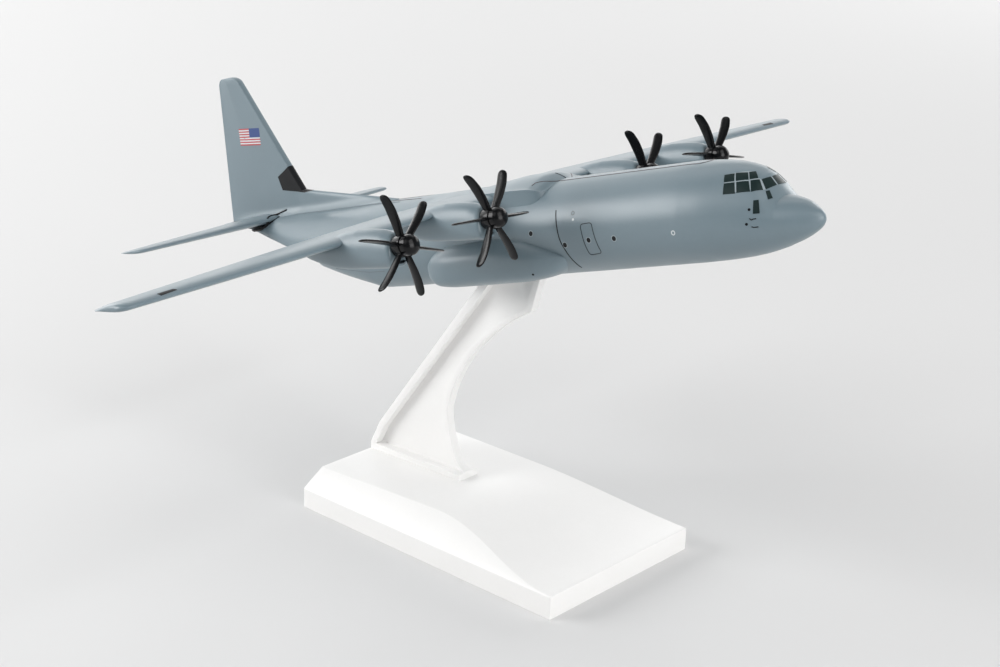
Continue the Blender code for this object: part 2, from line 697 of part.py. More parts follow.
def build_sponson(side, name, parts, plane, skin):
    """Fairing on the fuselage's flank, cut to the fuselage's skin."""
    inner = FUSELAGE_RADIUS * 0.55
    middle = mix(SPONSON_BOTTOM, SPONSON_TOP, 0.45)
    rings = []
    for share, bulge, rise, drop in SPONSON_SECTIONS:
        station = mix(SPONSON_FRONT, SPONSON_REAR, share)
        outer = mix(FUSELAGE_RADIUS * 0.92, SPONSON_HALF_WIDTH, bulge)
        rings.append(oval(station, outer - inner, middle + (SPONSON_TOP - middle) * rise,
                          middle - (middle - SPONSON_BOTTOM) * drop, middle, SPONSON_POWERS,
                          SPONSON_SIDES, side * inner))
    sponson = add_piece(name, loft(name, rings), "grey", parts, plane)
    boolean(sponson, skin)
    return sponson


def drill(name, y, z, half_width, half_height, depth):
    """Oval cutter that enters a cowl's front face to the given depth."""
    shape = bmesh.new()
    bmesh.ops.create_cone(shape, cap_ends=True, segments=20, radius1=1.0, radius2=1.0, depth=2 * depth)
    mesh = bpy.data.meshes.new(name)
    shape.to_mesh(mesh)
    shape.free()
    mesh.transform(Matrix.Diagonal((half_height, half_width, 1.0, 1.0)))
    mesh.transform(Matrix.Rotation(math.pi / 2, 4, "Y"))
    mesh.transform(Matrix.Translation(plane_point(cowl_front(), y, z)))
    return mesh


def cowl_front():
    return PROP_STATION + SPINNER_BACK + GAP


def build_cowl(name, y, hub_z, parts, cutters, plane):
    mesh = loft(name, nacelle_rings(COWL_SECTIONS, cowl_front(), FIREWALL_STATION, y, hub_z))
    cowl = add_piece(name, mesh, "grey", parts, plane)
    radius = SHAFT_RADIUS + SHAFT_CLEARANCE
    for label, z, half_width, half_height, depth in (
            ("_bore", hub_z, radius, radius, SHAFT_LENGTH),
            ("_intake", hub_z - INTAKE_DROP, INTAKE_HALF_WIDTH, INTAKE_HALF_HEIGHT, INTAKE_DEPTH)):
        cutter = drill(name + label, y, z, half_width, half_height, depth)
        boolean(cowl, add_cutter(name + label, cutter, cutters, plane))
    return cowl


def hub_mesh():
    """Spinner, cap and shaft turned about the spin axis, which is local Z, with the blades joined on."""
    dome = 6
    profile = []
    for k in range(dome + 1):
        angle = math.pi / 2 * k / dome
        profile.append((CAP_RADIUS * math.sin(angle), mix(CAP_SHOULDER, SPINNER_NOSE, math.cos(angle))))
    back = -SPINNER_BACK
    profile += [(CAP_RADIUS, CAP_BACK), (CAP_RADIUS - CAP_STEP, CAP_BACK - CAP_STEP)]
    profile += [(SPINNER_RADIUS, CAP_BACK - 2 * CAP_STEP), (SPINNER_RADIUS, back + SPINNER_EDGE)]
    profile += [(SPINNER_RADIUS - SPINNER_EDGE, back), (SHAFT_RADIUS, back)]
    profile += [(SHAFT_RADIUS, back - SHAFT_LENGTH + GAP), (0.0, back - SHAFT_LENGTH + GAP)]
    shape = bmesh.new()
    verts = [shape.verts.new((x, 0, z)) for x, z in profile]
    for first, second in zip(verts, verts[1:]):
        shape.edges.new((first, second))
    mesh = bpy.data.meshes.new("hub_profile")
    shape.to_mesh(mesh)
    shape.free()
    hub = bpy.data.objects.new("hub_work", mesh)
    bpy.context.scene.collection.objects.link(hub)
    turn = hub.modifiers.new("turn", "SCREW")
    turn.steps = 24
    turn.render_steps = 24
    turn.use_merge_vertices = True
    turn.merge_threshold = 1e-6
    blades = bpy.data.objects.new("blades_work", blades_mesh())
    bpy.context.scene.collection.objects.link(blades)
    boolean(hub, blades, "UNION")
    bpy.context.view_layer.update()
    made = bpy.data.meshes.new_from_object(hub.evaluated_get(bpy.context.evaluated_depsgraph_get()))
    for work in (hub, blades):
        bpy.data.objects.remove(work, do_unlink=True)
    made.name = "propeller"
    made.shade_smooth()
    made.set_sharp_from_angle(angle=math.radians(40))
    return made


# Blade sections: share of the radius, chord as a share of the blade's chord, twist from the plane of
# the disc in degrees, and how far forward the section sits, as a share of the blade's chord
BLADE_SECTIONS = (
    (0.150, 0.72, 98.0, 0.00),
    (0.300, 0.82, 97.0, 0.05),
    (0.500, 0.95, 96.0, 0.10),
    (0.700, 1.00, 95.0, 0.08),
    (0.860, 0.97, 94.0, -0.03),
    (0.950, 0.86, 94.0, -0.12),
    (0.980, 0.70, 94.0, -0.17),
    (0.995, 0.45, 94.0, -0.20),
    (1.000, 0.20, 94.0, -0.20),
)


def blades_mesh():
    """The blades as lofts of thin sections, the first one standing along local X."""
    shape = bmesh.new()
    around = 8
    for b in range(BLADES):
        turn = Matrix.Rotation(2 * math.pi * b / BLADES, 4, "Z")
        loops = []
        for share, wide, twist, sweep in BLADE_SECTIONS:
            half = BLADE_CHORD * wide / 2
            thick = mix(BLADE_ROOT_THICKNESS, BLADE_TIP_THICKNESS, share) / 2
            angle = math.radians(twist)
            loop = []
            for k in range(around):
                a = 2 * math.pi * k / around
                u = half * math.cos(a) + BLADE_CHORD * sweep
                v = thick * math.sin(a)
                y = u * math.cos(angle) - v * math.sin(angle)
                z = u * math.sin(angle) + v * math.cos(angle)
                loop.append(shape.verts.new(turn @ Vector((PROP_RADIUS * share, y, z))))
            loops.append(loop)
        for first, second in zip(loops, loops[1:]):
            for k in range(around):
                j = (k + 1) % around
                shape.faces.new((first[k], first[j], second[j], second[k]))
        shape.faces.new(loops[0])
        shape.faces.new(loops[-1])
    bmesh.ops.recalc_face_normals(shape, faces=shape.faces)
    mesh = bpy.data.meshes.new("blades")
    shape.to_mesh(mesh)
    shape.free()
    return mesh


def engines():
    """Place name, distance to port and hub height of each engine."""
    for place, y, hub_z in (("inboard", INBOARD_Y, INBOARD_Z), ("outboard", OUTBOARD_Y, OUTBOARD_Z)):
        yield place + "_right", -y, hub_z
        yield place + "_left", y, hub_z


def build_propeller(place, y, hub_z, mesh, parts, plane):
    """Propeller whose local Z is its spin axis, pointing forward."""
    name = "propeller_" + place
    propeller = add_piece(name, mesh.copy(), "black", parts, plane)
    lean = Matrix.Rotation(-math.radians(PROP_TURNS[place]), 4, "Z")
    forward = Matrix(((0, 0, 1, 0), (0, -1, 0, 0), (1, 0, 0, 0), (0, 0, 0, 1)))
    propeller.matrix_local = Matrix.Translation(plane_point(PROP_STATION, y, hub_z)) @ forward @ lean
    return propeller


def main():
    clear_scene()
    parts = make_collection("display_plane")
    cutters = make_collection("display_plane_cutters")
    root = bpy.data.objects.new("stand", None)
    parts.objects.link(root)
    plane = bpy.data.objects.new("plane", None)
    parts.objects.link(plane)
    plane.parent = root
    pitch = math.radians(PITCH_DEG)
    plane.location = (SADDLE_X - BELLY_DEPTH * math.sin(pitch), 0, SADDLE_Z + BELLY_DEPTH * math.cos(pitch))
    plane.rotation_euler = (0, -pitch, 0)

    build_base(parts, root)
    arm = build_arm(parts, cutters, root)
    boolean(arm, add_cutter("saddle_tab", saddle_tab(0.0), cutters, plane), "UNION")
    tail_room = tail_cutter(cutters, plane)
    build_fuselage(parts, cutters, plane, tail_room)
    build_fin(parts, plane, tail_room)
    build_centre(parts, plane)
    skin = add_cutter("fuselage_skin", loft("fuselage_skin", fuselage_rings(GAP)), cutters, plane)
    for side, label in ((-1, "right"), (1, "left")):
        build_wing(side, "wing_" + label, parts, cutters, plane)
        build_tailplane(side, "tailplane_" + label, parts, plane)
        build_sponson(side, "sponson_" + label, parts, plane, skin)
    propeller = hub_mesh()
    for place, y, hub_z in engines():
        build_cowl("cowl_" + place, y, hub_z, parts, cutters, plane)
        build_propeller(place, y, hub_z, propeller, parts, plane)


main()
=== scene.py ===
"""Looks of the display model: a grey transport plane with four black propellers on a white stand."""

import math

import bmesh
import bpy
from mathutils import Matrix, Vector
from mathutils.bvhtree import BVHTree


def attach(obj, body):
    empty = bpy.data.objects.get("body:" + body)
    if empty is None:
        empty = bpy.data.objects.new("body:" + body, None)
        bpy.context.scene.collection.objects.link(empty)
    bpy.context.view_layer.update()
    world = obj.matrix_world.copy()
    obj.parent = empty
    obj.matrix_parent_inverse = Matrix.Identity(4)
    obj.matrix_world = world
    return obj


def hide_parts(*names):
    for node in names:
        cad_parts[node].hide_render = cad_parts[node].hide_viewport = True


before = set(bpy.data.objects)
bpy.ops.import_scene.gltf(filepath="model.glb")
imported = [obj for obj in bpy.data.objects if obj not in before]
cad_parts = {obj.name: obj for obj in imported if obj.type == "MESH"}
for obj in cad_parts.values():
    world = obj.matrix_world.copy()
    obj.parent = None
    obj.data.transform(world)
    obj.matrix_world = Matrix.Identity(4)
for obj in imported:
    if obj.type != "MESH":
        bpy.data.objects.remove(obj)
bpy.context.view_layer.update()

# Sizes shared with the solids, in metres
GAP = 0.0003
BASE_LENGTH = 0.1000
BASE_WIDTH = 0.0603
BASE_SIDE_HEIGHT = 0.0066
BASE_REAR_SIDE = 0.0061
BASE_HIP = 0.0017
BASE_REAR_HEIGHT = 0.0120
BASE_CREST_HEIGHT = 0.0134
BASE_SHOULDER = 0.0076
ARM_WIDTH = 0.0076
ARM_WEB = 0.0026
ARM_RECESS = 0.0003
ARM_REAR_RIM = 0.0021
ARM_FRONT_RIM = 0.0024
ARM_FOOT_RIM = 0.0021
FOOT_REAR_X = -0.0481
FOOT_FRONT_X = -0.0095
FOOT_NOSE = 0.0010
ARM_BEND = (-0.0441, 0.0222)
ARM_WAIST = (-0.0174, 0.0332)
SADDLE_REAR = 0.0116
SADDLE_FRONT = 0.0093
SADDLE_LIP_DROP = 0.0100
SADDLE_LIP_BACK = 0.0070
SADDLE_X = 0.0094
SADDLE_Z = 0.0817
PITCH = math.radians(16.96)
SADDLE_STATION = 0.1045
FUSELAGE_LENGTH = 0.2283
RADIUS = 0.0143
BELLY_DEPTH = 0.0114
NOSE_LENGTH = 0.0347
TAIL_LENGTH = 0.0847
TAIL_CONE = 0.0047
SPAN = 0.2677
ROOT_CHORD = 0.0297
TIP_CHORD = 0.0141
WING_STATION = 0.0979
WING_SWEEP = 0.0016
WING_HEIGHT = 0.0122
WING_DROOP = 0.0017
WING_KINK_Y = 0.0343
WING_CAP = 0.0028
CENTRE_HALF_WIDTH = 0.0108
CENTRE_FRONT = 0.0807
CENTRE_REAR = 0.1350
CENTRE_CROWN = 0.0164
CENTRE_SHOULDER = 0.0138
ENGINES = {
    "inboard_right": (-0.0319, 0.00957, 34.6),
    "inboard_left": (0.0319, 0.00957, 42.2),
    "outboard_right": (-0.0640, 0.00909, 47.5),
    "outboard_left": (0.0640, 0.00909, 42.3),
}
PROP_STATION = 0.0794
PROP_RADIUS = 0.0137
SPINNER_RADIUS = 0.0029
SPINNER_BACK = 0.0018
CAP_RADIUS = 0.0027
CAP_BACK = 0.0012
CAP_SHOULDER = 0.0024
SPINNER_NOSE = 0.0045
BLADE_CHORD = 0.0034
BLADE_ROOT_THICKNESS = 0.0011
BLADE_TIP_THICKNESS = 0.0006
SHAFT_RADIUS = 0.0010
SHAFT_LENGTH = 0.0035
COWL_FRONT = PROP_STATION + SPINNER_BACK + GAP
FIREWALL_STATION = 0.0945
NACELLE_END = 0.1168
NACELLE_HALF_WIDTH = 0.0039
NACELLE_SAG = 0.0008
INTAKE_HALF_WIDTH = 0.0017
INTAKE_HALF_HEIGHT = 0.0004
INTAKE_DROP = 0.0040
INTAKE_DEPTH = 0.0020
SPONSON_FRONT = 0.0745
SPONSON_REAR = 0.1247
SPONSON_TOP = 0.0022
SPONSON_BOTTOM = -0.0112
SPONSON_HALF_WIDTH = 0.0190
TAILPLANE_SPAN = 0.1030
TAILPLANE_HEIGHT = 0.0137
TAILPLANE_AHEAD = 0.0274
TAILPLANE_TIP_AHEAD = 0.0202
TAILPLANE_ROOT_CHORD = 0.0264
TAILPLANE_TIP_CHORD = 0.0130
TAILPLANE_THICKNESS = 0.115
TAILPLANE_CAP = 0.0024
FIN_TOP = 0.0596
FIN_OVERHANG = 0.0002
FIN_TOP_REAR = 0.0078
FIN_TOP_FRONT = 0.0170
FIN_BASE_FRONT = 0.0379
DORSAL_FRONT = 0.0798
DORSAL_TOP = 0.0212
FIN_THICKNESS = 0.09
DORSAL_HALF_WIDTH = 0.0011
FIN_CORNER = 0.0022
FIN_FRONT_CORNER = 0.0034
FIN_REAR_CORNER = 0.0020
WING_CAMBER = 0.02
WING_THICKNESS = ((0.0, 0.095), (0.5, 0.135), (1.0, 0.155))
FUSELAGE_POWERS = (2.0, 2.3)
NACELLE_POWERS = (1.95, 2.6)
SPONSON_POWERS = (2.6, 3.2)

# Sizes and shares of the looks alone, in metres
COWL_OVERLAP = 0.0001
BORE_CLEARANCE = 0.0002
CENTRE_FOOT = 0.0060
SKIN_LIFT = 0.00002
WING_SINK = 0.0010
FIN_REAR_EDGE = 0.00012
FIN_TOP_THIN = 0.6
WING_TIP_CENTRE = 0.45
TAILPLANE_TIP_CENTRE = 0.5
CAP_CHORD = 0.48
CAP_THICKNESS = 0.25
SPONSON_INNER = 0.55
SPONSON_FLUSH = 0.92
SPONSON_MIDDLE = 0.45
FIN_SINK = 0.0006
FIN_FLARE = 0.0016
FIN_FLARE_HEIGHT = 0.0034
SPINE_NOSE = 0.0006
SPINNER_GROOVE = 0.00012
BLADE_ROOT_SHARE = 0.15
BLADE_ROUND_SHARE = 0.88
BLADE_COUNT = 6
BLADE_END_CHORD = 0.03
BLADE_END_THICKNESS = 0.05
ARM_SINK = 0.0004
PLINTH_BEVEL = 0.00035
PLINTH_SHARP_BELOW = 0.0010
ARM_BEVEL = 0.00018
# Pulls on the arm's two front curves: the upper as shares of its reach, the lower of its drop
ARM_PULLS = ((-0.386, -0.214), (0.045, 0.241), (0, -0.36), (-0.20, 0.07))

SIDES = ((-1, "right"), (1, "left"))

# From the plane's own frame, origin on the fuselage's axis above the saddle, to the model's frame
PLANE = (Matrix.Translation((SADDLE_X - BELLY_DEPTH * math.sin(PITCH), 0,
                             SADDLE_Z + BELLY_DEPTH * math.cos(PITCH)))
         @ Matrix.Rotation(-PITCH, 4, "Y"))


def mix(a, b, t):
    return a + (b - a) * t


def at(station, y, z):
    """Point of the plane, by its distance behind the nose, to port and above the fuselage's axis."""
    return PLANE @ Vector((SADDLE_STATION - station, y, z))


def lerped(start, end, count):
    """Values from start to end in equal steps, without the end."""
    return [mix(start, end, k / count) for k in range(count)]


def spaced(start, end, count):
    """Values from start to end in equal steps, with the end."""
    return lerped(start, end, count) + [end]


def quarter(count):
    """Angles of a quarter turn in equal steps."""
    return spaced(0.0, math.pi / 2, count)


def round_turn(count):
    """Angles of a full turn in equal steps, without the end."""
    return lerped(0.0, 2 * math.pi, count)


def eased(count):
    """Shares from 0 to 1 that lie closer together at both ends."""
    return [(1 - math.cos(math.pi * k / count)) / 2 for k in range(count + 1)]


def curve_value(points, x):
    """Smooth curve through (x, value) points that never overshoots them. A point given twice is a corner."""
    if x <= points[0][0]:
        return points[0][1]
    if x >= points[-1][0]:
        return points[-1][1]
    i = max(k for k in range(len(points) - 1) if points[k][0] <= x and points[k + 1][0] > points[k][0])

    def secant(k):
        if k < 0 or k > len(points) - 2 or points[k + 1][0] == points[k][0]:
            return None
        return (points[k + 1][1] - points[k][1]) / (points[k + 1][0] - points[k][0])

    def slope(a, b):
        if a is None or b is None:
            return a if b is None else b
        return 0.0 if a * b <= 0 else 2 * a * b / (a + b)

    h = points[i + 1][0] - points[i][0]
    t = (x - points[i][0]) / h
    m0 = slope(secant(i - 1), secant(i))
    m1 = slope(secant(i), secant(i + 1))
    return ((2 * t ** 3 - 3 * t ** 2 + 1) * points[i][1] + (t ** 3 - 2 * t ** 2 + t) * h * m0
            + (3 * t ** 2 - 2 * t ** 3) * points[i + 1][1] + (t ** 3 - t ** 2) * h * m1)


def row_values(sections, share):
    """Every column of a table of sections at one share of its length."""
    return [curve_value([(row[0], row[k]) for row in sections], share) for k in range(1, len(sections[0]))]


def shares_of(sections, count, ease=1.0):
    """Shares from 0 to 1 that take in every section of the table."""
    return sorted({round((k / count) ** ease, 5) for k in range(count + 1)} | {row[0] for row in sections})


# Materials

GRAIN = 900.0


def node(tree, kind, place, **values):
    """New node, whose inputs or else its settings take the values."""
    made = tree.nodes.new(kind)
    made.location = place
    for key, value in values.items():
        if key in made.inputs:
            made.inputs[key].default_value = value
        else:
            setattr(made, key, value)
    return made


def wire(tree, links):
    """Links given as (node, its output, next node, its input)."""
    for source, output, target, entry in links:
        tree.links.new(source.outputs[output], target.inputs[entry])


def new_material(name, **settings):
    """Material whose shader takes the settings, given with underscores for blanks."""
    made = bpy.data.materials.new(name)
    made.use_nodes = True
    for label, value in settings.items():
        made.node_tree.nodes["Principled BSDF"].inputs[label.replace("_", " ")].default_value = value
    return made, made.node_tree, made.node_tree.nodes["Principled BSDF"]


def finish(name, colour, roughness, mottle, bump=0.02, coat=0.0, specular=0.5):
    """Moulded or painted plastic: a soft mottle in the colour, a varied gloss and a fine skin."""
    made, tree, shader = new_material(name, Metallic=0.0, Coat_Weight=coat, Coat_Roughness=0.3,
                                      Specular_IOR_Level=specular)
    place = node(tree, "ShaderNodeTexCoord", (-1300, 0))
    cloud = node(tree, "ShaderNodeTexNoise", (-1050, 250), Scale=55.0, Detail=4.0, Roughness=0.6)
    speck = node(tree, "ShaderNodeTexNoise", (-1050, 0), Scale=GRAIN, Detail=3.0, Roughness=0.55)
    skin = node(tree, "ShaderNodeTexNoise", (-1050, -300), Scale=GRAIN * 2.6, Detail=2.0, Roughness=0.5)
    both = node(tree, "ShaderNodeMix", (-820, 150), data_type="FLOAT", Factor=0.35)
    ramp = node(tree, "ShaderNodeValToRGB", (-600, 200))
    for stop, position, change in zip(ramp.color_ramp.elements, (0.3, 0.7), (-mottle, mottle)):
        stop.position = position
        stop.color = [min(1.0, c * (1 + change)) for c in colour] + [1.0]
    limits = {"From Min": 0.3, "From Max": 0.7, "To Min": roughness - 0.05, "To Max": roughness + 0.06}
    gloss = node(tree, "ShaderNodeMapRange", (-600, -80), **limits)
    relief = node(tree, "ShaderNodeBump", (-300, -300), Strength=bump, Distance=0.0002)
    wire(tree, (
        (place, "Object", cloud, "Vector"), (place, "Object", speck, "Vector"),
        (place, "Object", skin, "Vector"), (cloud, "Fac", both, "A"), (speck, "Fac", both, "B"),
        (both, "Result", ramp, "Fac"), (both, "Result", gloss, "Value"), (skin, "Fac", relief, "Height"),
        (ramp, "Color", shader, "Base Color"), (gloss, "Result", shader, "Roughness"),
        (relief, "Normal", shader, "Normal")))
    made.diffuse_color = (*colour, 1.0)
    return made


GREY = finish("satin_grey_paint", (0.158, 0.213, 0.244), 0.40, 0.035, bump=0.05, coat=0.2)
BLACK = finish("glossy_black_plastic", (0.0045, 0.0048, 0.0055), 0.22, 0.15, specular=0.22)
WHITE = finish("satin_white_plastic", (0.88, 0.872, 0.86), 0.38, 0.015, bump=0.05)
PANE = finish("dark_window_ink", (0.0115, 0.0235, 0.0235), 0.34, 0.2, specular=0.22)
INK = finish("black_ink", (0.0070, 0.0075, 0.0090), 0.4, 0.15, specular=0.2)
FINE_INK = finish("dark_line_ink", (0.024, 0.030, 0.036), 0.45, 0.1, specular=0.25)
RIM = finish("pale_grey_rim", (0.30, 0.355, 0.385), 0.4, 0.04)
SEAM = finish("seam_shadow", (0.125, 0.155, 0.175), 0.5, 0.08)
WALK = finish("walkway_line_ink", (0.105, 0.085, 0.090), 0.5, 0.1)
PALE = finish("pale_ink", (0.60, 0.63, 0.64), 0.45, 0.05)
RED = finish("red_ink", (0.42, 0.045, 0.055), 0.45, 0.06)
BLUE = finish("blue_ink", (0.022, 0.055, 0.20), 0.45, 0.06)


# Meshes and pieces

def smoothed(mesh, angle):
    """The mesh, shaded smooth except where its faces meet at more than the angle in degrees."""
    mesh.shade_smooth()
    mesh.set_sharp_from_angle(angle=math.radians(angle))
    return mesh


def to_mesh(name, shape, angle=35.0):
    mesh = bpy.data.meshes.new(name)
    shape.to_mesh(mesh)
    shape.free()
    return smoothed(mesh, angle)


def loft(name, rings, angle=35.0):
    """Closed shell through rings of equal point counts."""
    shape = bmesh.new()
    loops = [[shape.verts.new(point) for point in ring] for ring in rings]
    count = len(loops[0])
    for first, second in zip(loops, loops[1:]):
        for i in range(count):
            j = (i + 1) % count
            shape.faces.new((first[i], first[j], second[j], second[i]))
    shape.faces.new(loops[0])
    shape.faces.new(loops[-1])
    bmesh.ops.recalc_face_normals(shape, faces=shape.faces)
    return to_mesh(name, shape, angle)


def add(name, mesh):
    made = bpy.data.objects.new(name, mesh)
    bpy.context.scene.collection.objects.link(made)
    return made


def baked(obj):
    """The object's mesh with its modifiers applied; the working object is removed."""
    bpy.context.view_layer.update()
    mesh = bpy.data.meshes.new_from_object(obj.evaluated_get(bpy.context.evaluated_depsgraph_get()))
    bpy.data.objects.remove(obj, do_unlink=True)
    return mesh


def combined(name, mesh, tool, operation):
    """The mesh cut by the tool, joined with it, or kept only inside it."""
    body = add(name + "_work", mesh)
    cutter = add(name + "_tool", tool)
    step = body.modifiers.new("cut", "BOOLEAN")
    step.operation = operation
    step.solver = "EXACT"
    step.object = cutter
    made = baked(body)
    bpy.data.objects.remove(cutter, do_unlink=True)
    return made


def bevelled(name, mesh, width, segments, above=-1.0):
    """The mesh with its sharp edges rounded, except those that lie no higher than the given level."""
    shape = bmesh.new()
    shape.from_mesh(mesh)
    sharp = [edge for edge in shape.edges if edge.calc_face_angle(0.0) > math.radians(30)
             and max(vert.co.z for vert in edge.verts) > above]
    bmesh.ops.bevel(shape, geom=sharp, offset=width, offset_type="OFFSET", segments=segments, profile=0.5,
                    affect="EDGES", clamp_overlap=True)
    return to_mesh(name, shape, 40.0)


def show(name, mesh, material, body="model", nodes=()):
    """Finished piece: one material, the body that it rides and the solids that it stands for."""
    mesh.name = name
    mesh.materials.clear()
    mesh.materials.append(material)
    for face in mesh.polygons:
        face.material_index = 0
    made = add(name, mesh)
    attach(made, body)
    if nodes:
        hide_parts(*nodes)


def grey(name, mesh, nodes):
    show(name, mesh, GREY, nodes=nodes)


def oval(station, half_width, top, bottom, middle, powers, count, side=0.0):
    """Upright ring of a superellipse whose upper and lower halves differ."""
    ring = []
    for i in range(count):
        angle = 2 * math.pi * (i + 0.5) / count
        c, s = math.cos(angle), math.sin(angle)
        power = powers[0] if s > 0 else powers[1]
        reach = (top - middle) if s > 0 else (middle - bottom)
        y = half_width * math.copysign(abs(c) ** (2 / power), c)
        z = middle + reach * math.copysign(abs(s) ** (2 / power), s)
        ring.append(at(station, side + y, z))
    return ring


# Fuselage sections: share of the nose's or tail's length, then top, bottom, half width and widest height.
# Top, half width and widest height are shares of the radius, bottom is a share of the belly's depth.
NOSE_SECTIONS = (
    (0.000, -0.195, -0.290, 0.020, -0.211),
    (0.008, -0.140, -0.360, 0.065, -0.211),
    (0.027, -0.080, -0.430, 0.125, -0.209),
    (0.063, -0.010, -0.515, 0.210, -0.207),
    (0.135, 0.111, -0.625, 0.338, -0.200),
    (0.221, 0.190, -0.725, 0.450, -0.186),
    (0.288, 0.235, -0.783, 0.513, -0.168),
    (0.288, 0.235, -0.783, 0.513, -0.168),
    (0.346, 0.407, -0.835, 0.581, -0.140),
    (0.413, 0.643, -0.878, 0.657, -0.107),
    (0.500, 0.790, -0.924, 0.750, -0.074),
    (0.635, 0.900, -0.965, 0.840, -0.042),
    (0.808, 0.965, -0.990, 0.935, -0.014),
    (1.000, 1.000, -1.000, 1.000, 0.000),
)
TAIL_SECTIONS = (
    (0.000, 1.000, -1.000, 1.000, 0.000),
    (0.118, 1.000, -0.990, 0.990, 0.010),
    (0.180, 1.000, -0.870, 0.975, 0.020),
    (0.290, 1.000, -0.620, 0.930, 0.075),
    (0.385, 1.000, -0.370, 0.870, 0.150),
    (0.385, 1.000, -0.370, 0.870, 0.150),
    (0.392, 1.000, -0.170, 0.865, 0.160),
    (0.392, 1.000, -0.170, 0.865, 0.160),
    (0.530, 1.000, 0.200, 0.765, 0.360),
    (0.674, 1.000, 0.620, 0.630, 0.600),
    (0.824, 1.000, 0.980, 0.420, 0.820),
    (0.940, 0.990, 1.070, 0.260, 0.900),
    (1.000, 0.980, 1.130, 0.140, 0.940),
)
CONE_SECTIONS = (
    (0.00, 0.980, 1.130, 0.140, 0.940),
    (0.85, 0.958, 1.160, 0.085, 0.944),
    (1.00, 0.952, 1.172, 0.050, 0.945),
)


def fuselage_ring(sections, start, length, share, grow, count):
    top, bottom, width, middle = row_values(sections, share)
    return oval(start + share * length, width * RADIUS + grow, top * RADIUS + grow,
                bottom * BELLY_DEPTH - grow, middle * RADIUS, FUSELAGE_POWERS, count)


def fuselage_rings(grow=0.0, count=96):
    tail_start = FUSELAGE_LENGTH - TAIL_LENGTH
    parts = [(NOSE_SECTIONS, 0, NOSE_LENGTH, share) for share in shares_of(NOSE_SECTIONS, 44, 1.6)]
    parts += [(NOSE_SECTIONS, station - NOSE_LENGTH, NOSE_LENGTH, 1.0)
              for station in lerped(NOSE_LENGTH, tail_start, 24)[1:]]
    parts += [(TAIL_SECTIONS, tail_start, TAIL_LENGTH, share) for share in shares_of(TAIL_SECTIONS, 44)]
    parts += [(CONE_SECTIONS, FUSELAGE_LENGTH, TAIL_CONE, k / 12) for k in range(1, 13)]
    return [fuselage_ring(*part, grow, count) for part in parts]


def aerofoil(chord, thickness, camber, points):
    """Closed outline of (distance behind the leading edge, height), from the trailing edge over the top."""
    def half(x):
        return thickness * 5 * (0.2969 * math.sqrt(x) - 0.1260 * x - 0.3516 * x ** 2
                                + 0.2843 * x ** 3 - 0.0950 * x ** 4)
    shares = eased(points)
    upper = [(x * chord, (camber * 4 * x * (1 - x) + half(x)) * chord) for x in reversed(shares)]
    lower = [(x * chord, (camber * 4 * x * (1 - x) - half(x)) * chord) for x in shares[1:]]
    return upper + lower


def aerofoil_ring(station, y, z, chord, thickness, camber=0.0, grow=0.0, sink=0.0):
    ring = []
    for back, height in aerofoil(chord + 2 * grow, thickness, camber, 26):
        lift = math.copysign(grow, height) if height else 0.0
        ring.append(at(station - grow + back, y, z + height + lift - sink))
    return ring


def cap_rows(start, length, steps):
    """Distance out, share of the chord and share of the thickness over a rounded tip."""
    outs = [math.sin(angle) for angle in quarter(steps)]
    return [(start + length * out, mix(CAP_CHORD, 1.0, math.sqrt(1 - out ** 2)),
             mix(CAP_THICKNESS, 1.0, math.sqrt(1 - out ** 3))) for out in outs]


def wing_mesh(side):
    cap_start = SPAN / 2 - WING_CAP
    root = CENTRE_HALF_WIDTH
    along = [root - WING_SINK] + lerped(root, WING_KINK_Y, 6)[1:] + lerped(WING_KINK_Y, cap_start, 24)
    rows = [(y, 1.0, 1.0) for y in along] + cap_rows(cap_start, WING_CAP, 10)
    rings = []
    for y, wide, thick in rows:
        out = max(0.0, (y - WING_KINK_Y) / (SPAN / 2 - WING_KINK_Y))
        full = mix(ROOT_CHORD, TIP_CHORD, out)
        lead = WING_STATION + WING_SWEEP * out + (full - full * wide) * WING_TIP_CENTRE
        thickness = curve_value(WING_THICKNESS, out) * thick / wide
        height = WING_HEIGHT - WING_DROOP * out
        rings.append(aerofoil_ring(lead, side * y, height, full * wide, thickness, WING_CAMBER))
    return loft("wing", rings)


# Nacelle sections: share of the length, then half width, top and bottom as shares of the half width
COWL_SECTIONS = (
    (0.00, 0.74, 0.50, -1.10),
    (0.012, 0.84, 0.66, -1.23),
    (0.04, 0.92, 0.85, -1.32),
    (0.10, 0.96, 0.96, -1.34),
    (0.30, 1.00, 1.16, -1.33),
    (0.65, 1.00, 1.29, -1.29),
    (1.00, 0.98, 1.34, -1.24),
)
FAIRING_SECTIONS = (
    (0.00, 0.98, 1.34, -1.24),
    (0.20, 0.95, 1.28, -1.18),
    (0.39, 0.86, 1.15, -1.08),
    (0.60, 0.70, 0.95, -0.82),
    (0.80, 0.48, 0.75, -0.50),
    (0.93, 0.28, 0.62, -0.28),
    (1.00, 0.12, 0.55, -0.12),
)


def nacelle_mesh(name, sections, front, rear, y, hub_z, steps, ease=1.0):
    rings = []
    w = NACELLE_HALF_WIDTH
    for share in shares_of(sections, steps, ease):
        wide, top, bottom = row_values(sections, share)
        rings.append(oval(mix(front, rear, share), w * wide, hub_z + w * top, hub_z + w * bottom,
                          hub_z + w * (top + bottom) / 2 - NACELLE_SAG * wide, NACELLE_POWERS, 64, y))
    return loft(name, rings, 40.0)


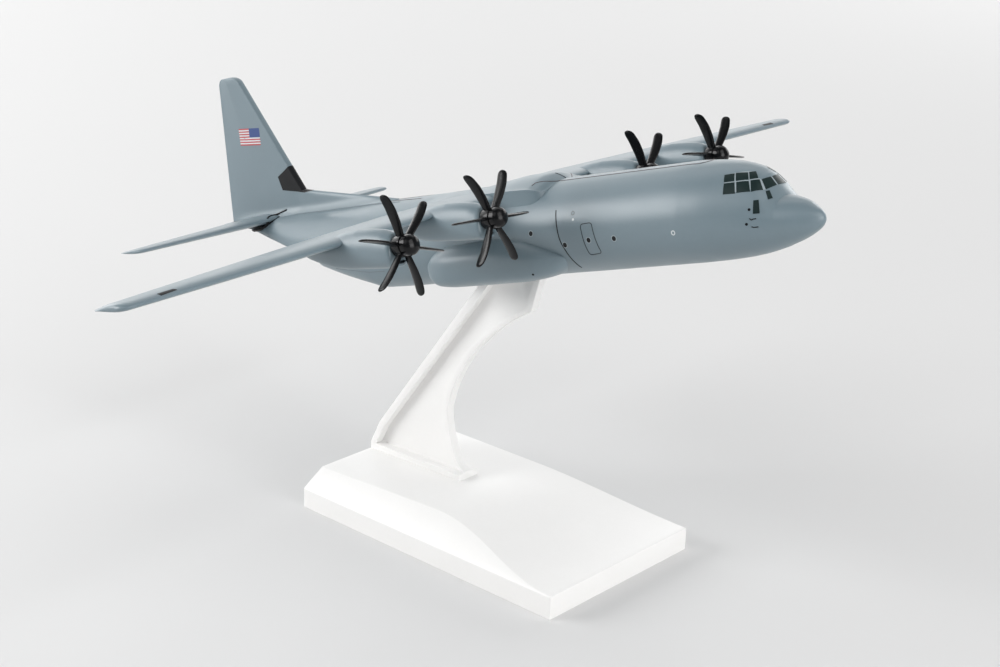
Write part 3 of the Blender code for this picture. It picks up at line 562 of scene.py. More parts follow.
def plug(y, z, half_width, half_height, depth):
    """Oval cutter that enters a cowl's front face to the given depth."""
    shape = bmesh.new()
    bmesh.ops.create_cone(shape, cap_ends=True, segments=40, radius1=1.0, radius2=1.0, depth=2 * depth)
    shape.transform(Matrix.Diagonal((half_height, half_width, 1.0, 1.0)))
    shape.transform(Matrix.Rotation(math.pi / 2, 4, "Y"))
    shape.transform(PLANE @ Matrix.Translation((SADDLE_STATION - COWL_FRONT, y, z)))
    return to_mesh("plug", shape)


def make_wings_and_engines():
    for side, label in SIDES:
        mesh = wing_mesh(side)
        for place in ("inboard_", "outboard_"):
            y, hub_z, turn = ENGINES[place + label]
            fairing = nacelle_mesh("fairing", FAIRING_SECTIONS, FIREWALL_STATION, NACELLE_END, y, hub_z, 24)
            mesh = combined("wing", mesh, fairing, "UNION")
        grey("wing_skin_" + label, smoothed(mesh, 38), ("wing_" + label,))
    bore = SHAFT_RADIUS + BORE_CLEARANCE
    cowl_end = FIREWALL_STATION + COWL_OVERLAP
    for place, (y, hub_z, turn) in ENGINES.items():
        mesh = nacelle_mesh("cowl", COWL_SECTIONS, COWL_FRONT, cowl_end, y, hub_z, 28, 1.5)
        intake = plug(y, hub_z - INTAKE_DROP, INTAKE_HALF_WIDTH, INTAKE_HALF_HEIGHT, INTAKE_DEPTH)
        for cutter in (intake, plug(y, hub_z, bore, bore, SHAFT_LENGTH)):
            mesh = combined("cowl", mesh, cutter, "DIFFERENCE")
        grey("cowl_skin_" + place, smoothed(mesh, 38), ("cowl_" + place,))


# Propellers

# Blade sections: share of the radius, chord as a share of the blade's chord, twist from the plane of
# the disc in degrees, and how far forward the section sits, as a share of the blade's chord
BLADE_SECTIONS = (
    (0.15, 0.72, 98.0, 0.00),
    (0.30, 0.82, 97.0, 0.05),
    (0.50, 0.95, 96.0, 0.10),
    (0.70, 1.00, 95.0, 0.08),
    (0.86, 0.97, 94.0, -0.03),
    (0.95, 0.88, 94.0, -0.12),
    (1.00, 0.82, 94.0, -0.20),
)


def blade_mesh():
    """One blade along local X, whose spin axis is local Z."""
    rings = []
    shares = lerped(BLADE_ROOT_SHARE, BLADE_ROUND_SHARE, 18)
    shares += [mix(BLADE_ROUND_SHARE, 1.0, math.sin(angle)) for angle in quarter(12)]
    for share in shares:
        wide, twist, sweep = row_values(BLADE_SECTIONS, share)
        end = max(0.0, (share - BLADE_ROUND_SHARE) / (1 - BLADE_ROUND_SHARE))
        half = BLADE_CHORD * wide / 2 * math.sqrt(max(BLADE_END_CHORD, 1 - end ** 3.2))
        thick = mix(BLADE_ROOT_THICKNESS, BLADE_TIP_THICKNESS, share) / 2
        thick *= math.sqrt(max(BLADE_END_THICKNESS, 1 - end ** 6))
        angle = math.radians(twist)
        ring = []
        for a in round_turn(20):
            u = half * math.cos(a) + BLADE_CHORD * sweep
            v = thick * math.sin(a)
            ring.append(Vector((PROP_RADIUS * share, u * math.cos(angle) - v * math.sin(angle),
                                u * math.sin(angle) + v * math.cos(angle))))
        rings.append(ring)
    return loft("blade", rings, 60.0)


def spinner_mesh():
    """Cap, blade carrier and shaft, turned about local Z with the Screw modifier."""
    profile = [(CAP_RADIUS * math.sin(angle), mix(CAP_SHOULDER, SPINNER_NOSE, math.cos(angle)))
               for angle in quarter(14)]
    groove = SPINNER_GROOVE
    back = -SPINNER_BACK
    end = back - SHAFT_LENGTH + GAP
    profile += [(CAP_RADIUS, CAP_BACK + groove), (CAP_RADIUS - groove, CAP_BACK),
                (CAP_RADIUS - groove, CAP_BACK - groove), (SPINNER_RADIUS - groove, CAP_BACK - groove),
                (SPINNER_RADIUS, CAP_BACK - 2 * groove), (SPINNER_RADIUS, back + 2 * groove),
                (SPINNER_RADIUS - groove * 0.6, back + groove * 0.6), (SPINNER_RADIUS - 2 * groove, back),
                (SHAFT_RADIUS, back), (SHAFT_RADIUS, end), (0.0, end)]
    shape = bmesh.new()
    verts = [shape.verts.new((x, 0, z)) for x, z in profile]
    for first, second in zip(verts, verts[1:]):
        shape.edges.new((first, second))
    work = add("spinner_work", to_mesh("spinner", shape))
    turn = work.modifiers.new("turn", "SCREW")
    for setting, value in (("steps", 64), ("render_steps", 64), ("use_merge_vertices", True),
                           ("merge_threshold", 1e-6), ("use_smooth_shade", True)):
        setattr(turn, setting, value)
    return baked(work)


def new_tree(name, inputs):
    """Empty geometry tree with a geometry in, the named inputs and a geometry out."""
    tree = bpy.data.node_groups.new(name, "GeometryNodeTree")
    for label, kind in (("Geometry", "Geometry"), *inputs):
        tree.interface.new_socket(label, in_out="INPUT", socket_type="NodeSocket" + kind)
    tree.interface.new_socket("Geometry", in_out="OUTPUT", socket_type="NodeSocketGeometry")
    return tree


def end_tree(tree, given, source, label):
    """Last nodes of a tree: real geometry in the given material."""
    real = node(tree, "GeometryNodeRealizeInstances", (100, 0))
    paint = node(tree, "GeometryNodeSetMaterial", (300, 0))
    out = node(tree, "NodeGroupOutput", (500, 0))
    wire(tree, ((source, 0, real, 0), (real, 0, paint, "Geometry"), (given, label, paint, "Material"),
                (paint, "Geometry", out, 0)))
    return tree


def blade_ring_tree():
    """Geometry Nodes: the given blade, repeated evenly round Z."""
    tree = new_tree("blades_round_hub", (("Blade Count", "Int"), ("Blade Material", "Material")))
    given = node(tree, "NodeGroupInput", (-900, 0))
    line = node(tree, "GeometryNodeMeshLine", (-600, 200))
    line.inputs["Offset"].default_value = (0, 0, 0)
    index = node(tree, "GeometryNodeInputIndex", (-900, -300))
    step = node(tree, "ShaderNodeMath", (-650, -200), operation="DIVIDE")
    step.inputs[0].default_value = 2 * math.pi
    turn = node(tree, "ShaderNodeMath", (-450, -250), operation="MULTIPLY")
    angles = node(tree, "ShaderNodeCombineXYZ", (-300, -250))
    place = node(tree, "GeometryNodeInstanceOnPoints", (-100, 0))
    wire(tree, (
        (given, "Blade Count", line, "Count"), (given, "Blade Count", step, 1),
        (step, 0, turn, 0), (index, 0, turn, 1), (turn, 0, angles, "Z"), (angles, 0, place, "Rotation"),
        (line, "Mesh", place, "Points"), (given, "Geometry", place, "Instance")))
    return end_tree(tree, given, place, "Blade Material")


def set_input(modifier, label, value):
    """Set a tree's named input on the modifier, by the socket's identifier."""
    for item in modifier.node_group.interface.items_tree:
        if item.item_type == "SOCKET" and item.in_out == "INPUT" and item.name == label:
            modifier[item.identifier] = value
            return
    raise ValueError(label)


def make_propellers():
    work = add("blades_work", blade_mesh())
    ring = work.modifiers.new("ring", "NODES")
    ring.node_group = blade_ring_tree()
    set_input(ring, "Blade Count", BLADE_COUNT)
    set_input(ring, "Blade Material", BLACK)
    shape = bmesh.new()
    for mesh in (spinner_mesh(), baked(work)):
        shape.from_mesh(mesh)
    whole = to_mesh("propeller", shape, 40.0)
    # Turns the propeller's own Z, its axis, towards the plane's nose
    forward = Matrix(((0, 0, 1, 0), (0, -1, 0, 0), (1, 0, 0, 0), (0, 0, 0, 1)))
    for place, (y, hub_z, turn) in ENGINES.items():
        mesh = whole.copy()
        lean = Matrix.Rotation(-math.radians(turn), 4, "Z")
        hub = Matrix.Translation((SADDLE_STATION - PROP_STATION, y, hub_z))
        mesh.transform(PLANE @ hub @ forward @ lean)
        show("blades_and_spinner_" + place, mesh, BLACK, place + "_propeller",
             ("propeller_" + place,))


# Fuselage, fairings and tail

# Shares of the fairing's length against shares of its rise, half width and shoulder
CENTRE_RISE = ((0.0, 0.0), (0.03, 0.45), (0.07, 0.87), (0.11, 1.0), (0.23, 0.95), (0.36, 0.67), (0.48, 0.34),
               (0.6, 0.05), (1.0, 0.0))
CENTRE_WIDTH = ((0.0, 0.35), (0.02, 0.75), (0.05, 0.95), (0.1, 1.0), (0.2, 1.0), (0.75, 1.0), (0.8, 0.98),
                (0.93, 0.78), (1.0, 0.35))
CENTRE_SIDE = ((0.0, 0.0), (0.02, 0.3), (0.05, 0.8), (0.1, 0.95), (0.3, 1.0), (0.7, 0.95), (0.9, 0.4),
               (1.0, 0.0))


def centre_mesh():
    rings = []
    for share in eased(60):
        station = mix(CENTRE_FRONT, CENTRE_REAR, share)
        half = CENTRE_HALF_WIDTH * curve_value(CENTRE_WIDTH, share)
        crown = mix(RADIUS, CENTRE_CROWN, curve_value(CENTRE_RISE, share))
        shoulder = mix(math.sqrt(RADIUS ** 2 - half ** 2), CENTRE_SHOULDER, curve_value(CENTRE_SIDE, share))
        ring = [at(station, -half, CENTRE_FOOT), at(station, half, CENTRE_FOOT)]
        for angle in spaced(0.0, math.pi, 32):
            y = half * math.cos(angle)
            height = mix(shoulder, crown, math.sin(angle) ** 3)
            ring.append(at(station, y, max(height, math.sqrt(RADIUS ** 2 - y ** 2) + SKIN_LIFT)))
        rings.append(ring)
    return loft("centre", rings, 50.0)


# Sponson sections: share of the length, then shares of its bulge, its rise and its drop from the middle
SPONSON_SECTIONS = (
    (0.00, 0.02, 0.05, 0.25),
    (0.03, 0.24, 0.18, 0.52),
    (0.09, 0.50, 0.38, 0.78),
    (0.18, 0.76, 0.63, 0.93),
    (0.30, 0.93, 0.88, 1.00),
    (0.46, 1.00, 1.00, 1.00),
    (0.80, 1.00, 0.92, 1.00),
    (0.92, 0.88, 0.78, 0.94),
    (0.98, 0.62, 0.52, 0.75),
    (1.00, 0.35, 0.30, 0.45),
)


def sponson_mesh(side):
    inner = RADIUS * SPONSON_INNER
    middle = mix(SPONSON_BOTTOM, SPONSON_TOP, SPONSON_MIDDLE)
    rings = []
    for share in eased(56):
        bulge, rise, drop = row_values(SPONSON_SECTIONS, share)
        outer = mix(RADIUS * SPONSON_FLUSH, SPONSON_HALF_WIDTH, bulge)
        rings.append(oval(mix(SPONSON_FRONT, SPONSON_REAR, share), outer - inner,
                          middle + (SPONSON_TOP - middle) * rise, middle - (middle - SPONSON_BOTTOM) * drop,
                          middle, SPONSON_POWERS, 72, side * inner))
    return loft("sponson", rings, 50.0)


def tailplane_at(y):
    out = abs(y) / (TAILPLANE_SPAN / 2)
    lead = FUSELAGE_LENGTH - mix(TAILPLANE_AHEAD, TAILPLANE_TIP_AHEAD, out)
    return lead, mix(TAILPLANE_ROOT_CHORD, TAILPLANE_TIP_CHORD, out)


def tailplane_mesh(side):
    cap_start = TAILPLANE_SPAN / 2 - TAILPLANE_CAP
    rows = [(y, 1.0, 1.0) for y in lerped(0.0, cap_start, 20)] + cap_rows(cap_start, TAILPLANE_CAP, 10)
    rings = []
    for y, wide, thick in rows:
        lead, full = tailplane_at(y)
        lead += (full - full * wide) * TAILPLANE_TIP_CENTRE
        rings.append(aerofoil_ring(lead, side * y, TAILPLANE_HEIGHT, full * wide,
                                   TAILPLANE_THICKNESS * thick / wide))
    return loft("tailplane", rings)


def fin_mesh(grow=0.0):
    """Fin and dorsal spine as level sections, flared at the foot onto the fuselage's back."""
    base = RADIUS + GAP
    foot = RADIUS - FIN_SINK
    corner_start = FIN_TOP - FIN_CORNER
    heights = lerped(foot, base, 3) + lerped(base, DORSAL_TOP, 14) + lerped(DORSAL_TOP, corner_start, 24)
    rows = [(z, 0.0) for z in heights]
    rows += [(mix(corner_start, FIN_TOP, math.sin(angle)), 1 - math.cos(angle)) for angle in quarter(12)]
    rings = []
    for z, corner in rows:
        rear = FUSELAGE_LENGTH - corner * FIN_REAR_CORNER
        rear -= mix(-FIN_OVERHANG, FIN_TOP_REAR, (z - base) / (FIN_TOP - base))
        up = max((z - DORSAL_TOP) / (FIN_TOP - DORSAL_TOP), 0)
        fin_front = FUSELAGE_LENGTH - mix(FIN_BASE_FRONT, FIN_TOP_FRONT, up) + corner * FIN_FRONT_CORNER
        spine = (DORSAL_FRONT - FIN_BASE_FRONT) * min(1.0, max(0, (DORSAL_TOP - z) / (DORSAL_TOP - base)))
        flare = FIN_FLARE * max(0.0, 1 - (z - foot) / FIN_FLARE_HEIGHT) ** 2
        rings.append(fin_ring(fin_front - spine, rear, fin_front, z, flare, grow, corner))
    return loft("fin", rings, 45.0)


def fin_ring(front, rear, fin_front, z, flare, grow, corner):
    """Level section: the fin's aerofoil, then the thin spine that runs ahead of it."""
    chord = rear - fin_front
    outline = []
    for back, half in aerofoil(chord, FIN_THICKNESS, 0.0, 24)[:22]:
        wide = max(half, DORSAL_HALF_WIDTH * min(1.0, 2 * (chord - back) / chord))
        wide = wide * mix(1.0, FIN_TOP_THIN, corner) + flare * min(1.0, (chord - back) / chord * 4)
        outline.append((fin_front + back, max(wide, FIN_REAR_EDGE) + grow))
    for share in spaced(0.0, 1.0, 16):
        wide = DORSAL_HALF_WIDTH * mix(1.0, FIN_TOP_THIN, corner) * math.sqrt(max(0.0, 1 - share ** 2.4))
        outline.append((mix(fin_front, front, share) - (SPINE_NOSE + grow) * share,
                        wide + flare * (1 - share ** 4) + grow + SKIN_LIFT))
    ring = [at(station, half, z) for station, half in outline]
    return ring + [at(station, -half, z) for station, half in reversed(outline)]


def make_body():
    grey("fuselage_skin", loft("fuselage", fuselage_rings(), 28.0), ("fuselage",))
    grey("wing_centre_skin", centre_mesh(), ("wing_centre",))
    for side, label in SIDES:
        grey("sponson_skin_" + label, sponson_mesh(side), ("sponson_" + label,))
        grey("tailplane_skin_" + label, tailplane_mesh(side), ("tailplane_" + label,))
    grey("tail_fin_skin", fin_mesh(), ("tail_fin",))


# Stand

def base_top(x):
    """Height of the plinth's top: it rises to a crest in the middle, then falls to the front."""
    front = BASE_SIDE_HEIGHT + GAP
    if x <= 0:
        return mix(BASE_REAR_HEIGHT, BASE_CREST_HEIGHT, (x + BASE_LENGTH / 2) / (BASE_LENGTH / 2))
    return front + (BASE_CREST_HEIGHT - front) * (1 + math.cos(math.pi * x / (BASE_LENGTH / 2))) / 2


def base_ring(x, top):
    share = max(top - BASE_SIDE_HEIGHT, 0) / (BASE_CREST_HEIGHT - BASE_SIDE_HEIGHT)
    outer = BASE_WIDTH / 2
    inner = outer - max(BASE_SHOULDER * share, GAP)
    side = mix(BASE_REAR_SIDE, BASE_SIDE_HEIGHT, x / BASE_LENGTH + 0.5)
    return [Vector((x, -outer, 0)), Vector((x, outer, 0)), Vector((x, outer, side)),
            Vector((x, inner, top)), Vector((x, -inner, top)), Vector((x, -outer, side))]


def base_mesh():
    rear = -BASE_LENGTH / 2
    rings = [base_ring(rear, BASE_REAR_SIDE + GAP)]
    rings += [base_ring(x, base_top(x)) for x in spaced(rear + BASE_HIP, BASE_LENGTH / 2, 72)]
    return loft("base", rings)


def belly_point(station, below):
    """Point (x, z) of the model, at a station of the plane and at a distance square below its belly."""
    along = SADDLE_STATION - station
    return Vector((SADDLE_X + along * math.cos(PITCH) + below * math.sin(PITCH),
                   SADDLE_Z + along * math.sin(PITCH) - below * math.cos(PITCH)))


def bezier(p0, p1, p2, p3, steps):
    return [p0 * (1 - t) ** 3 + p1 * 3 * t * (1 - t) ** 2 + p2 * 3 * t ** 2 * (1 - t) + p3 * t ** 3
            for t in spaced(0.0, 1.0, steps)]


def arm_corners(foot, top):
    top_rear = belly_point(SADDLE_STATION + SADDLE_REAR, top)
    top_front = belly_point(SADDLE_STATION - SADDLE_FRONT, top)
    lip = belly_point(SADDLE_STATION - SADDLE_FRONT + SADDLE_LIP_BACK, GAP + SADDLE_LIP_DROP)
    heel = Vector((FOOT_REAR_X, base_top(FOOT_REAR_X) + foot))
    toe = Vector((FOOT_FRONT_X, base_top(FOOT_FRONT_X) + foot))
    return heel, Vector(ARM_BEND), top_rear, top_front, lip, toe


def arm_front(lip, toe):
    """Front edge of the arm as two curves, from its lip to its waist and on to its toe."""
    waist = Vector(ARM_WAIST)
    reach = (lip - waist).length
    drop = waist.y - toe.y
    from_lip, to_waist, from_waist, to_toe = (Vector(pull) for pull in ARM_PULLS)
    upper = bezier(lip, lip + from_lip * reach, waist + to_waist * reach, waist, 26)
    lower = bezier(waist, waist + from_waist * drop, toe + to_toe * drop, toe, 16)
    return upper + lower[1:]


def arm_outline(rear, front, foot, top):
    heel, bend, top_rear, top_front, lip, toe = arm_corners(foot, top)
    slope = (top_rear - bend).normalized()
    in_rear = Vector((slope.y, -slope.x)) * rear
    forward = Vector((-front, 0))
    edge = [point + forward for point in arm_front(lip, toe + Vector((-FOOT_NOSE, 0)))]
    return [heel + Vector((rear, 0)), bend + in_rear, top_rear + in_rear, top_front + forward] + edge


def side_plate(outline, thickness, middle=0.0):
    """Flat outline in the X-Z plane, made solid to the given thickness about Y = middle."""
    curve = bpy.data.curves.new("plate", "CURVE")
    curve.dimensions = "2D"
    curve.fill_mode = "BOTH"
    curve.extrude = thickness / 2
    line = curve.splines.new("POLY")
    line.points.add(len(outline) - 1)
    for point, (x, z) in zip(line.points, outline):
        point.co = (x, z, 0, 1)
    line.use_cyclic_u = True
    mesh = baked(add("plate_work", curve))
    mesh.transform(Matrix.Translation((0, middle, 0)) @ Matrix.Rotation(math.pi / 2, 4, "X"))
    shape = bmesh.new()
    shape.from_mesh(mesh)
    bmesh.ops.remove_doubles(shape, verts=shape.verts, dist=1e-6)
    bmesh.ops.recalc_face_normals(shape, faces=shape.faces)
    return to_mesh("plate", shape)


def arm_mesh():
    """Arm with a wide foot and rear rim, and a thin plate with a raised front rim between them."""
    outline = arm_outline(0, 0, ARM_FOOT_RIM, -ARM_SINK)
    foot_front = outline[-1]
    outline += [Vector((foot_front.x + FOOT_NOSE / 2, foot_front.y)),
                Vector((FOOT_FRONT_X, base_top(FOOT_FRONT_X) - ARM_SINK)),
                Vector((FOOT_REAR_X, base_top(FOOT_REAR_X) - ARM_SINK))]
    mesh = side_plate(outline, ARM_WIDTH)
    heel, bend, top_rear, top_front, lip, toe = arm_corners(ARM_FOOT_RIM, 0)
    slope = (top_rear - bend).normalized()
    in_rear = Vector((slope.y, -slope.x)) * ARM_REAR_RIM
    past = slope * SADDLE_LIP_DROP
    ahead = Vector((SADDLE_LIP_DROP, 0))
    sides = [heel + Vector((ARM_REAR_RIM, 0)), bend + in_rear, top_rear + in_rear + past,
             top_front + past + ahead, lip + ahead, toe + ahead]
    recess = arm_outline(ARM_REAR_RIM, ARM_FRONT_RIM, ARM_FOOT_RIM, 0)
    for region, width in ((sides, ARM_WEB), (recess, ARM_WEB - 2 * ARM_RECESS)):
        for side in (-1, 1):
            tool = side_plate(region, ARM_WIDTH, side * (ARM_WIDTH + width) / 2)
            mesh = combined("arm", mesh, tool, "DIFFERENCE")
    return mesh


def make_stand():
    plinth = bevelled("base", base_mesh(), PLINTH_BEVEL, 3, PLINTH_SHARP_BELOW)
    show("plinth", plinth, WHITE, nodes=("stand_base",))
    show("arm", bevelled("arm", arm_mesh(), ARM_BEVEL, 2), WHITE, nodes=("stand_arm",))


# Printed marks and painted gap shade, laid on the finished skins: how far they stand off, and the lines'
# radii, in metres
PRINT_LIFT = 0.00004
PANE_LIFT = 0.00007
FRAME_LIFT = 0.00003
DOOR_LINE = 0.00011
SEAM_LINE = 0.00012
WALK_LINE = 0.00013
BAND_LINE = 0.00014
# Radii of the black lines painted as the shade of the gap at the tailplane's root
ROOT_OVER_LINE = 0.00028
ROOT_UNDER_LINE = 0.0005
# Distances from the fuselage's axis at which the rays that find a skin start
SIDE_START = 0.08
TOP_START = 0.09
BAND_START = 0.04
DOWN = PLANE.to_3x3() @ Vector((0, 0, -1))


def skin_of(name):
    mesh = bpy.data.objects[name].data
    faces = [tuple(face.vertices) for face in mesh.polygons]
    return BVHTree.FromPolygons([vert.co for vert in mesh.vertices], faces)


def on_skin(skin, point):
    """Nearest point of a skin and its outward direction."""
    return skin.find_nearest(point)[:2]


def laid(skins, points, spacing=0.0006):
    """The path, refined and moved onto whichever skin lies closest."""
    return [min((skin.find_nearest(point) for skin in skins), key=lambda found: found[3])[0]
            for point in refined(points, spacing)]


def from_side(skin, side, points):
    """Points of a skin seen square from one side, given by station and height in millimetres."""
    inward = Vector((0, -side, 0))
    return [skin.ray_cast(at(s / 1000, side * SIDE_START, z / 1000), inward)[0] for s, z in points]


def from_above(skins, points):
    """Highest points of the skins, given by station and distance to port in millimetres."""
    made = []
    for s, y in points:
        hits = [skin.ray_cast(at(s / 1000, y / 1000, TOP_START), DOWN) for skin in skins]
        made.append(min((hit for hit in hits if hit[0]), key=lambda hit: hit[3])[0])
    return made


def patch(shape, skin, corners, steps, lift):
    """Thin printed panel on a skin, filled between four corners, with a wall down into the skin."""
    a, b, c, d = corners
    grid = []
    for u in spaced(0.0, 1.0, steps):
        row = []
        for v in spaced(0.0, 1.0, steps):
            place, normal = on_skin(skin, mix(mix(a, b, u), mix(d, c, u), v))
            row.append((shape.verts.new(place + normal * lift), shape.verts.new(place - normal * lift)))
        grid.append(row)
    for layer in (0, 1):
        for i in range(steps):
            for k in range(steps):
                quad = (grid[i][k], grid[i + 1][k], grid[i + 1][k + 1], grid[i][k + 1])
                shape.faces.new([pair[layer] for pair in (quad if layer == 0 else quad[::-1])])
    rim = [grid[i][0] for i in range(steps)] + [grid[steps][k] for k in range(steps)]
    rim += [grid[i][steps] for i in range(steps, 0, -1)] + [grid[0][k] for k in range(steps, 0, -1)]
    for first, second in zip(rim, rim[1:] + rim[:1]):
        shape.faces.new([first[1], second[1], second[0], first[0]])


def printed(name, skin, panels, material, steps=6, lift=PRINT_LIFT):
    """Panels given by four corners each, as one printed piece on the skin."""
    shape = bmesh.new()
    for corners in panels:
        patch(shape, skin, corners, steps, lift)
    bmesh.ops.recalc_face_normals(shape, faces=shape.faces)
    show(name, to_mesh(name, shape), material)


# Windscreen and cockpit side panes on the right: station, distance to port and height in millimetres
PANES = (
    ((22.4, -6.7, 10.6), (20.2, -5.6, 10.5), (19.4, -7.3, 8.9), (21.8, -8.25, 9.05)),
    ((19.9, -5.4, 10.6), (17.3, -4.1, 10.3), (16.4, -5.6, 8.65), (19.0, -7.1, 8.9)),
    ((17.1, -3.8, 10.3), (16.1, -2.5, 10.1), (14.8, -3.8, 8.6), (16.2, -5.35, 8.65)),
    ((21.7, -8.5, 8.8), (19.25, -7.5, 8.6), (18.5, -9.1, 6.15), (21.4, -10.0, 6.35)),
    ((18.8, -7.3, 8.6), (16.2, -5.9, 8.35), (15.25, -7.35, 6.0), (18.1, -8.9, 6.25)),
    ((15.9, -5.5, 8.4), (14.4, -3.9, 8.25), (13.1, -5.0, 5.8), (15.0, -7.2, 5.95)),
    ((14.1, -3.4, 8.15), (13.7, -0.3, 8.15), (12.2, -0.3, 6.1), (12.7, -4.3, 5.75)),
    ((14.2, -8.0, 3.8), (13.25, -7.2, 3.7), (12.8, -8.3, 0.65), (14.2, -9.1, 0.8)),
)
PANE_GROWTH = 0.055
RIGHT_PANE = ((12.6, -4.6, 5.35), (12.2, -3.6, 5.3), (11.1, -4.4, 3.5), (11.7, -5.5, 3.4))
# Pale ground that shows between the panes as their frames
FRAMES = (
    ((22.4, -6.7, 10.6), (16.1, -2.5, 10.1), (14.8, -3.8, 8.6), (21.8, -8.25, 9.05)),
    ((21.8, -8.25, 9.05), (14.8, -3.8, 8.6), (13.1, -5.0, 5.8), (21.4, -10.0, 6.35)),
    ((14.8, -3.8, 8.6), (14.1, -3.4, 8.15), (12.7, -4.3, 5.75), (13.1, -5.0, 5.8)),
    ((14.1, -3.4, 8.15), (13.7, 0.0, 8.15), (12.2, 0.0, 6.1), (12.7, -4.3, 5.75)),
)


def grown(corners):
    """The pane's corners, each a little further from its middle, which leaves narrow frames."""
    corners = [Vector(corner) for corner in corners]
    middle = sum(corners, Vector()) / len(corners)
    return [corner + (corner - middle).normalized() * PANE_GROWTH for corner in corners]


def mirrored(points, side):
    """Points given for the right in millimetres, on that side or the other."""
    return [at(s / 1000, (y if side < 0 else -y) / 1000, z / 1000) for s, y, z in points]


def dot(shape, skin, centre, radius, inner):
    """Small round mark on a skin, or a ring where inner isn't zero."""
    place, normal = on_skin(skin, centre)
    turn = normal.to_track_quat("Z", "Y")
    count = 24
    loops = []
    for reach in (inner, mix(inner, radius, 0.5), radius):
        reach = max(reach, radius * 0.02)
        loop = []
        for angle in round_turn(count):
            point = place + turn @ Vector((reach * math.cos(angle), reach * math.sin(angle), 0))
            spot, out = on_skin(skin, point)
            loop.append((shape.verts.new(spot + out * PRINT_LIFT), shape.verts.new(spot - out * PRINT_LIFT)))
        loops.append(loop)
    for k in range(count):
        j = (k + 1) % count
        for first, second in zip(loops, loops[1:]):
            shape.faces.new((first[k][0], second[k][0], second[j][0], first[j][0]))
            shape.faces.new((first[j][1], second[j][1], second[k][1], first[k][1]))
        for loop in (loops[0], loops[-1]):
            shape.faces.new((loop[k][0], loop[j][0], loop[j][1], loop[k][1]))


def dots(name, skin, places, radius, material, inner=0.0):
    """Round marks or rings of one size, as one printed piece."""
    shape = bmesh.new()
    for centre in places:
        dot(shape, skin, centre, radius, inner)
    bmesh.ops.recalc_face_normals(shape, faces=shape.faces)
    show(name, to_mesh(name, shape), material)


def line_tree():
    """Geometry Nodes: a thin printed line along each path of edges."""
    tree = new_tree("printed_line", (("Line Radius", "Float"), ("Line Material", "Material")))
    given = node(tree, "NodeGroupInput", (-800, 0))
    path = node(tree, "GeometryNodeMeshToCurve", (-550, 100))
    ring = node(tree, "GeometryNodeCurvePrimitiveCircle", (-550, -150), mode="RADIUS")
    ring.inputs["Resolution"].default_value = 8
    sweep = node(tree, "GeometryNodeCurveToMesh", (-250, 0))
    sweep.inputs["Fill Caps"].default_value = True
    smooth = node(tree, "GeometryNodeSetShadeSmooth", (-50, 0))
    wire(tree, (
        (given, "Geometry", path, "Mesh"), (given, "Line Radius", ring, "Radius"),
        (path, "Curve", sweep, "Curve"), (ring, "Curve", sweep, "Profile Curve"), (sweep, "Mesh", smooth, 0)))
    return end_tree(tree, given, smooth, "Line Material")


LINE_TREE = line_tree()


def lines(name, paths, radius, material, closed=False):
    """Printed lines along paths of points that already lie on a skin."""
    shape = bmesh.new()
    for path in paths:
        verts = [shape.verts.new(point) for point in path]
        pairs = list(zip(verts, verts[1:])) + ([(verts[-1], verts[0])] if closed else [])
        for first, second in pairs:
            shape.edges.new((first, second))
    work = add(name + "_work", to_mesh(name, shape))
    step = work.modifiers.new("line", "NODES")
    step.node_group = LINE_TREE
    set_input(step, "Line Radius", radius)
    set_input(step, "Line Material", material)
    show(name, baked(work), material)


def refined(points, spacing):
    """The same path with points no further apart than the spacing."""
    made = []
    for first, second in zip(points, points[1:]):
        count = max(1, math.ceil((second - first).length / spacing))
        made += [mix(first, second, k / count) for k in range(count)]
    return made + [points[-1]]


def rounded(corners, radius):
    """Closed outline with rounded corners, from flat (station, height) corners."""
    made = []
    count = len(corners)
    for i, corner in enumerate(corners):
        corner = Vector(corner)
        before = Vector(corners[i - 1])
        after = Vector(corners[(i + 1) % count])
        start = corner + (before - corner).normalized() * radius
        end = corner + (after - corner).normalized() * radius
        for t in spaced(0.0, 1.0, 6):
            made.append(start * (1 - t) ** 2 + corner * 2 * t * (1 - t) + end * t ** 2)
    return made


# Marks on the fuselage's sides, each given by station and height in millimetres
DOOR = ((66.1, 3.2), (62.2, 3.4), (60.9, -4.9), (65.2, -5.2))
DOOR_CORNER = 0.9
PORTHOLES = ((84.0, 2.1), (72.5, -1.8), (63.9, -1.1), (55.2, -1.3))
PROBES = (
    ((15.1, -0.2), (14.7, -0.65), (14.3, -0.5), (13.6, -0.5)),
    ((14.9, -2.3), (14.4, -2.55), (13.4, -2.55)),
)
# Piece, places, radius and inner radius in metres, ink
ROUND_MARKS = (
    ("porthole_glass_", PORTHOLES, 0.00068, 0.0, INK),
    ("porthole_rims_", PORTHOLES, 0.00088, 0.00068, RIM),
    ("round_mark_", ((35.6, -1.3),), 0.00065, 0.00038, PALE),
    ("upper_round_mark_", ((68.8, 6.2),), 0.00062, 0.00036, SEAM),
    ("small_white_mark_", ((68.6, 4.6),), 0.00034, 0.0, PALE),
    ("nose_dots_", ((15.0, 1.9), (15.9, -1.5)), 0.00036, 0.0, INK),
)
# Angle from the top in degrees and station in millimetres of the line round the fuselage
BAND = ((59, 75.1), (75, 74.5), (91, 73.9), (105, 72.8), (119, 72.1), (131, 71.9))


def band_path(skin, side):
    path = []
    for degrees in spaced(BAND[0][0], BAND[-1][0], 40):
        angle = math.radians(degrees)
        station = curve_value(BAND, degrees) / 1000
        start = at(station, side * BAND_START * math.sin(angle), BAND_START * math.cos(angle))
        path.append(skin.ray_cast(start, (at(station, 0, 0) - start).normalized())[0])
    return path


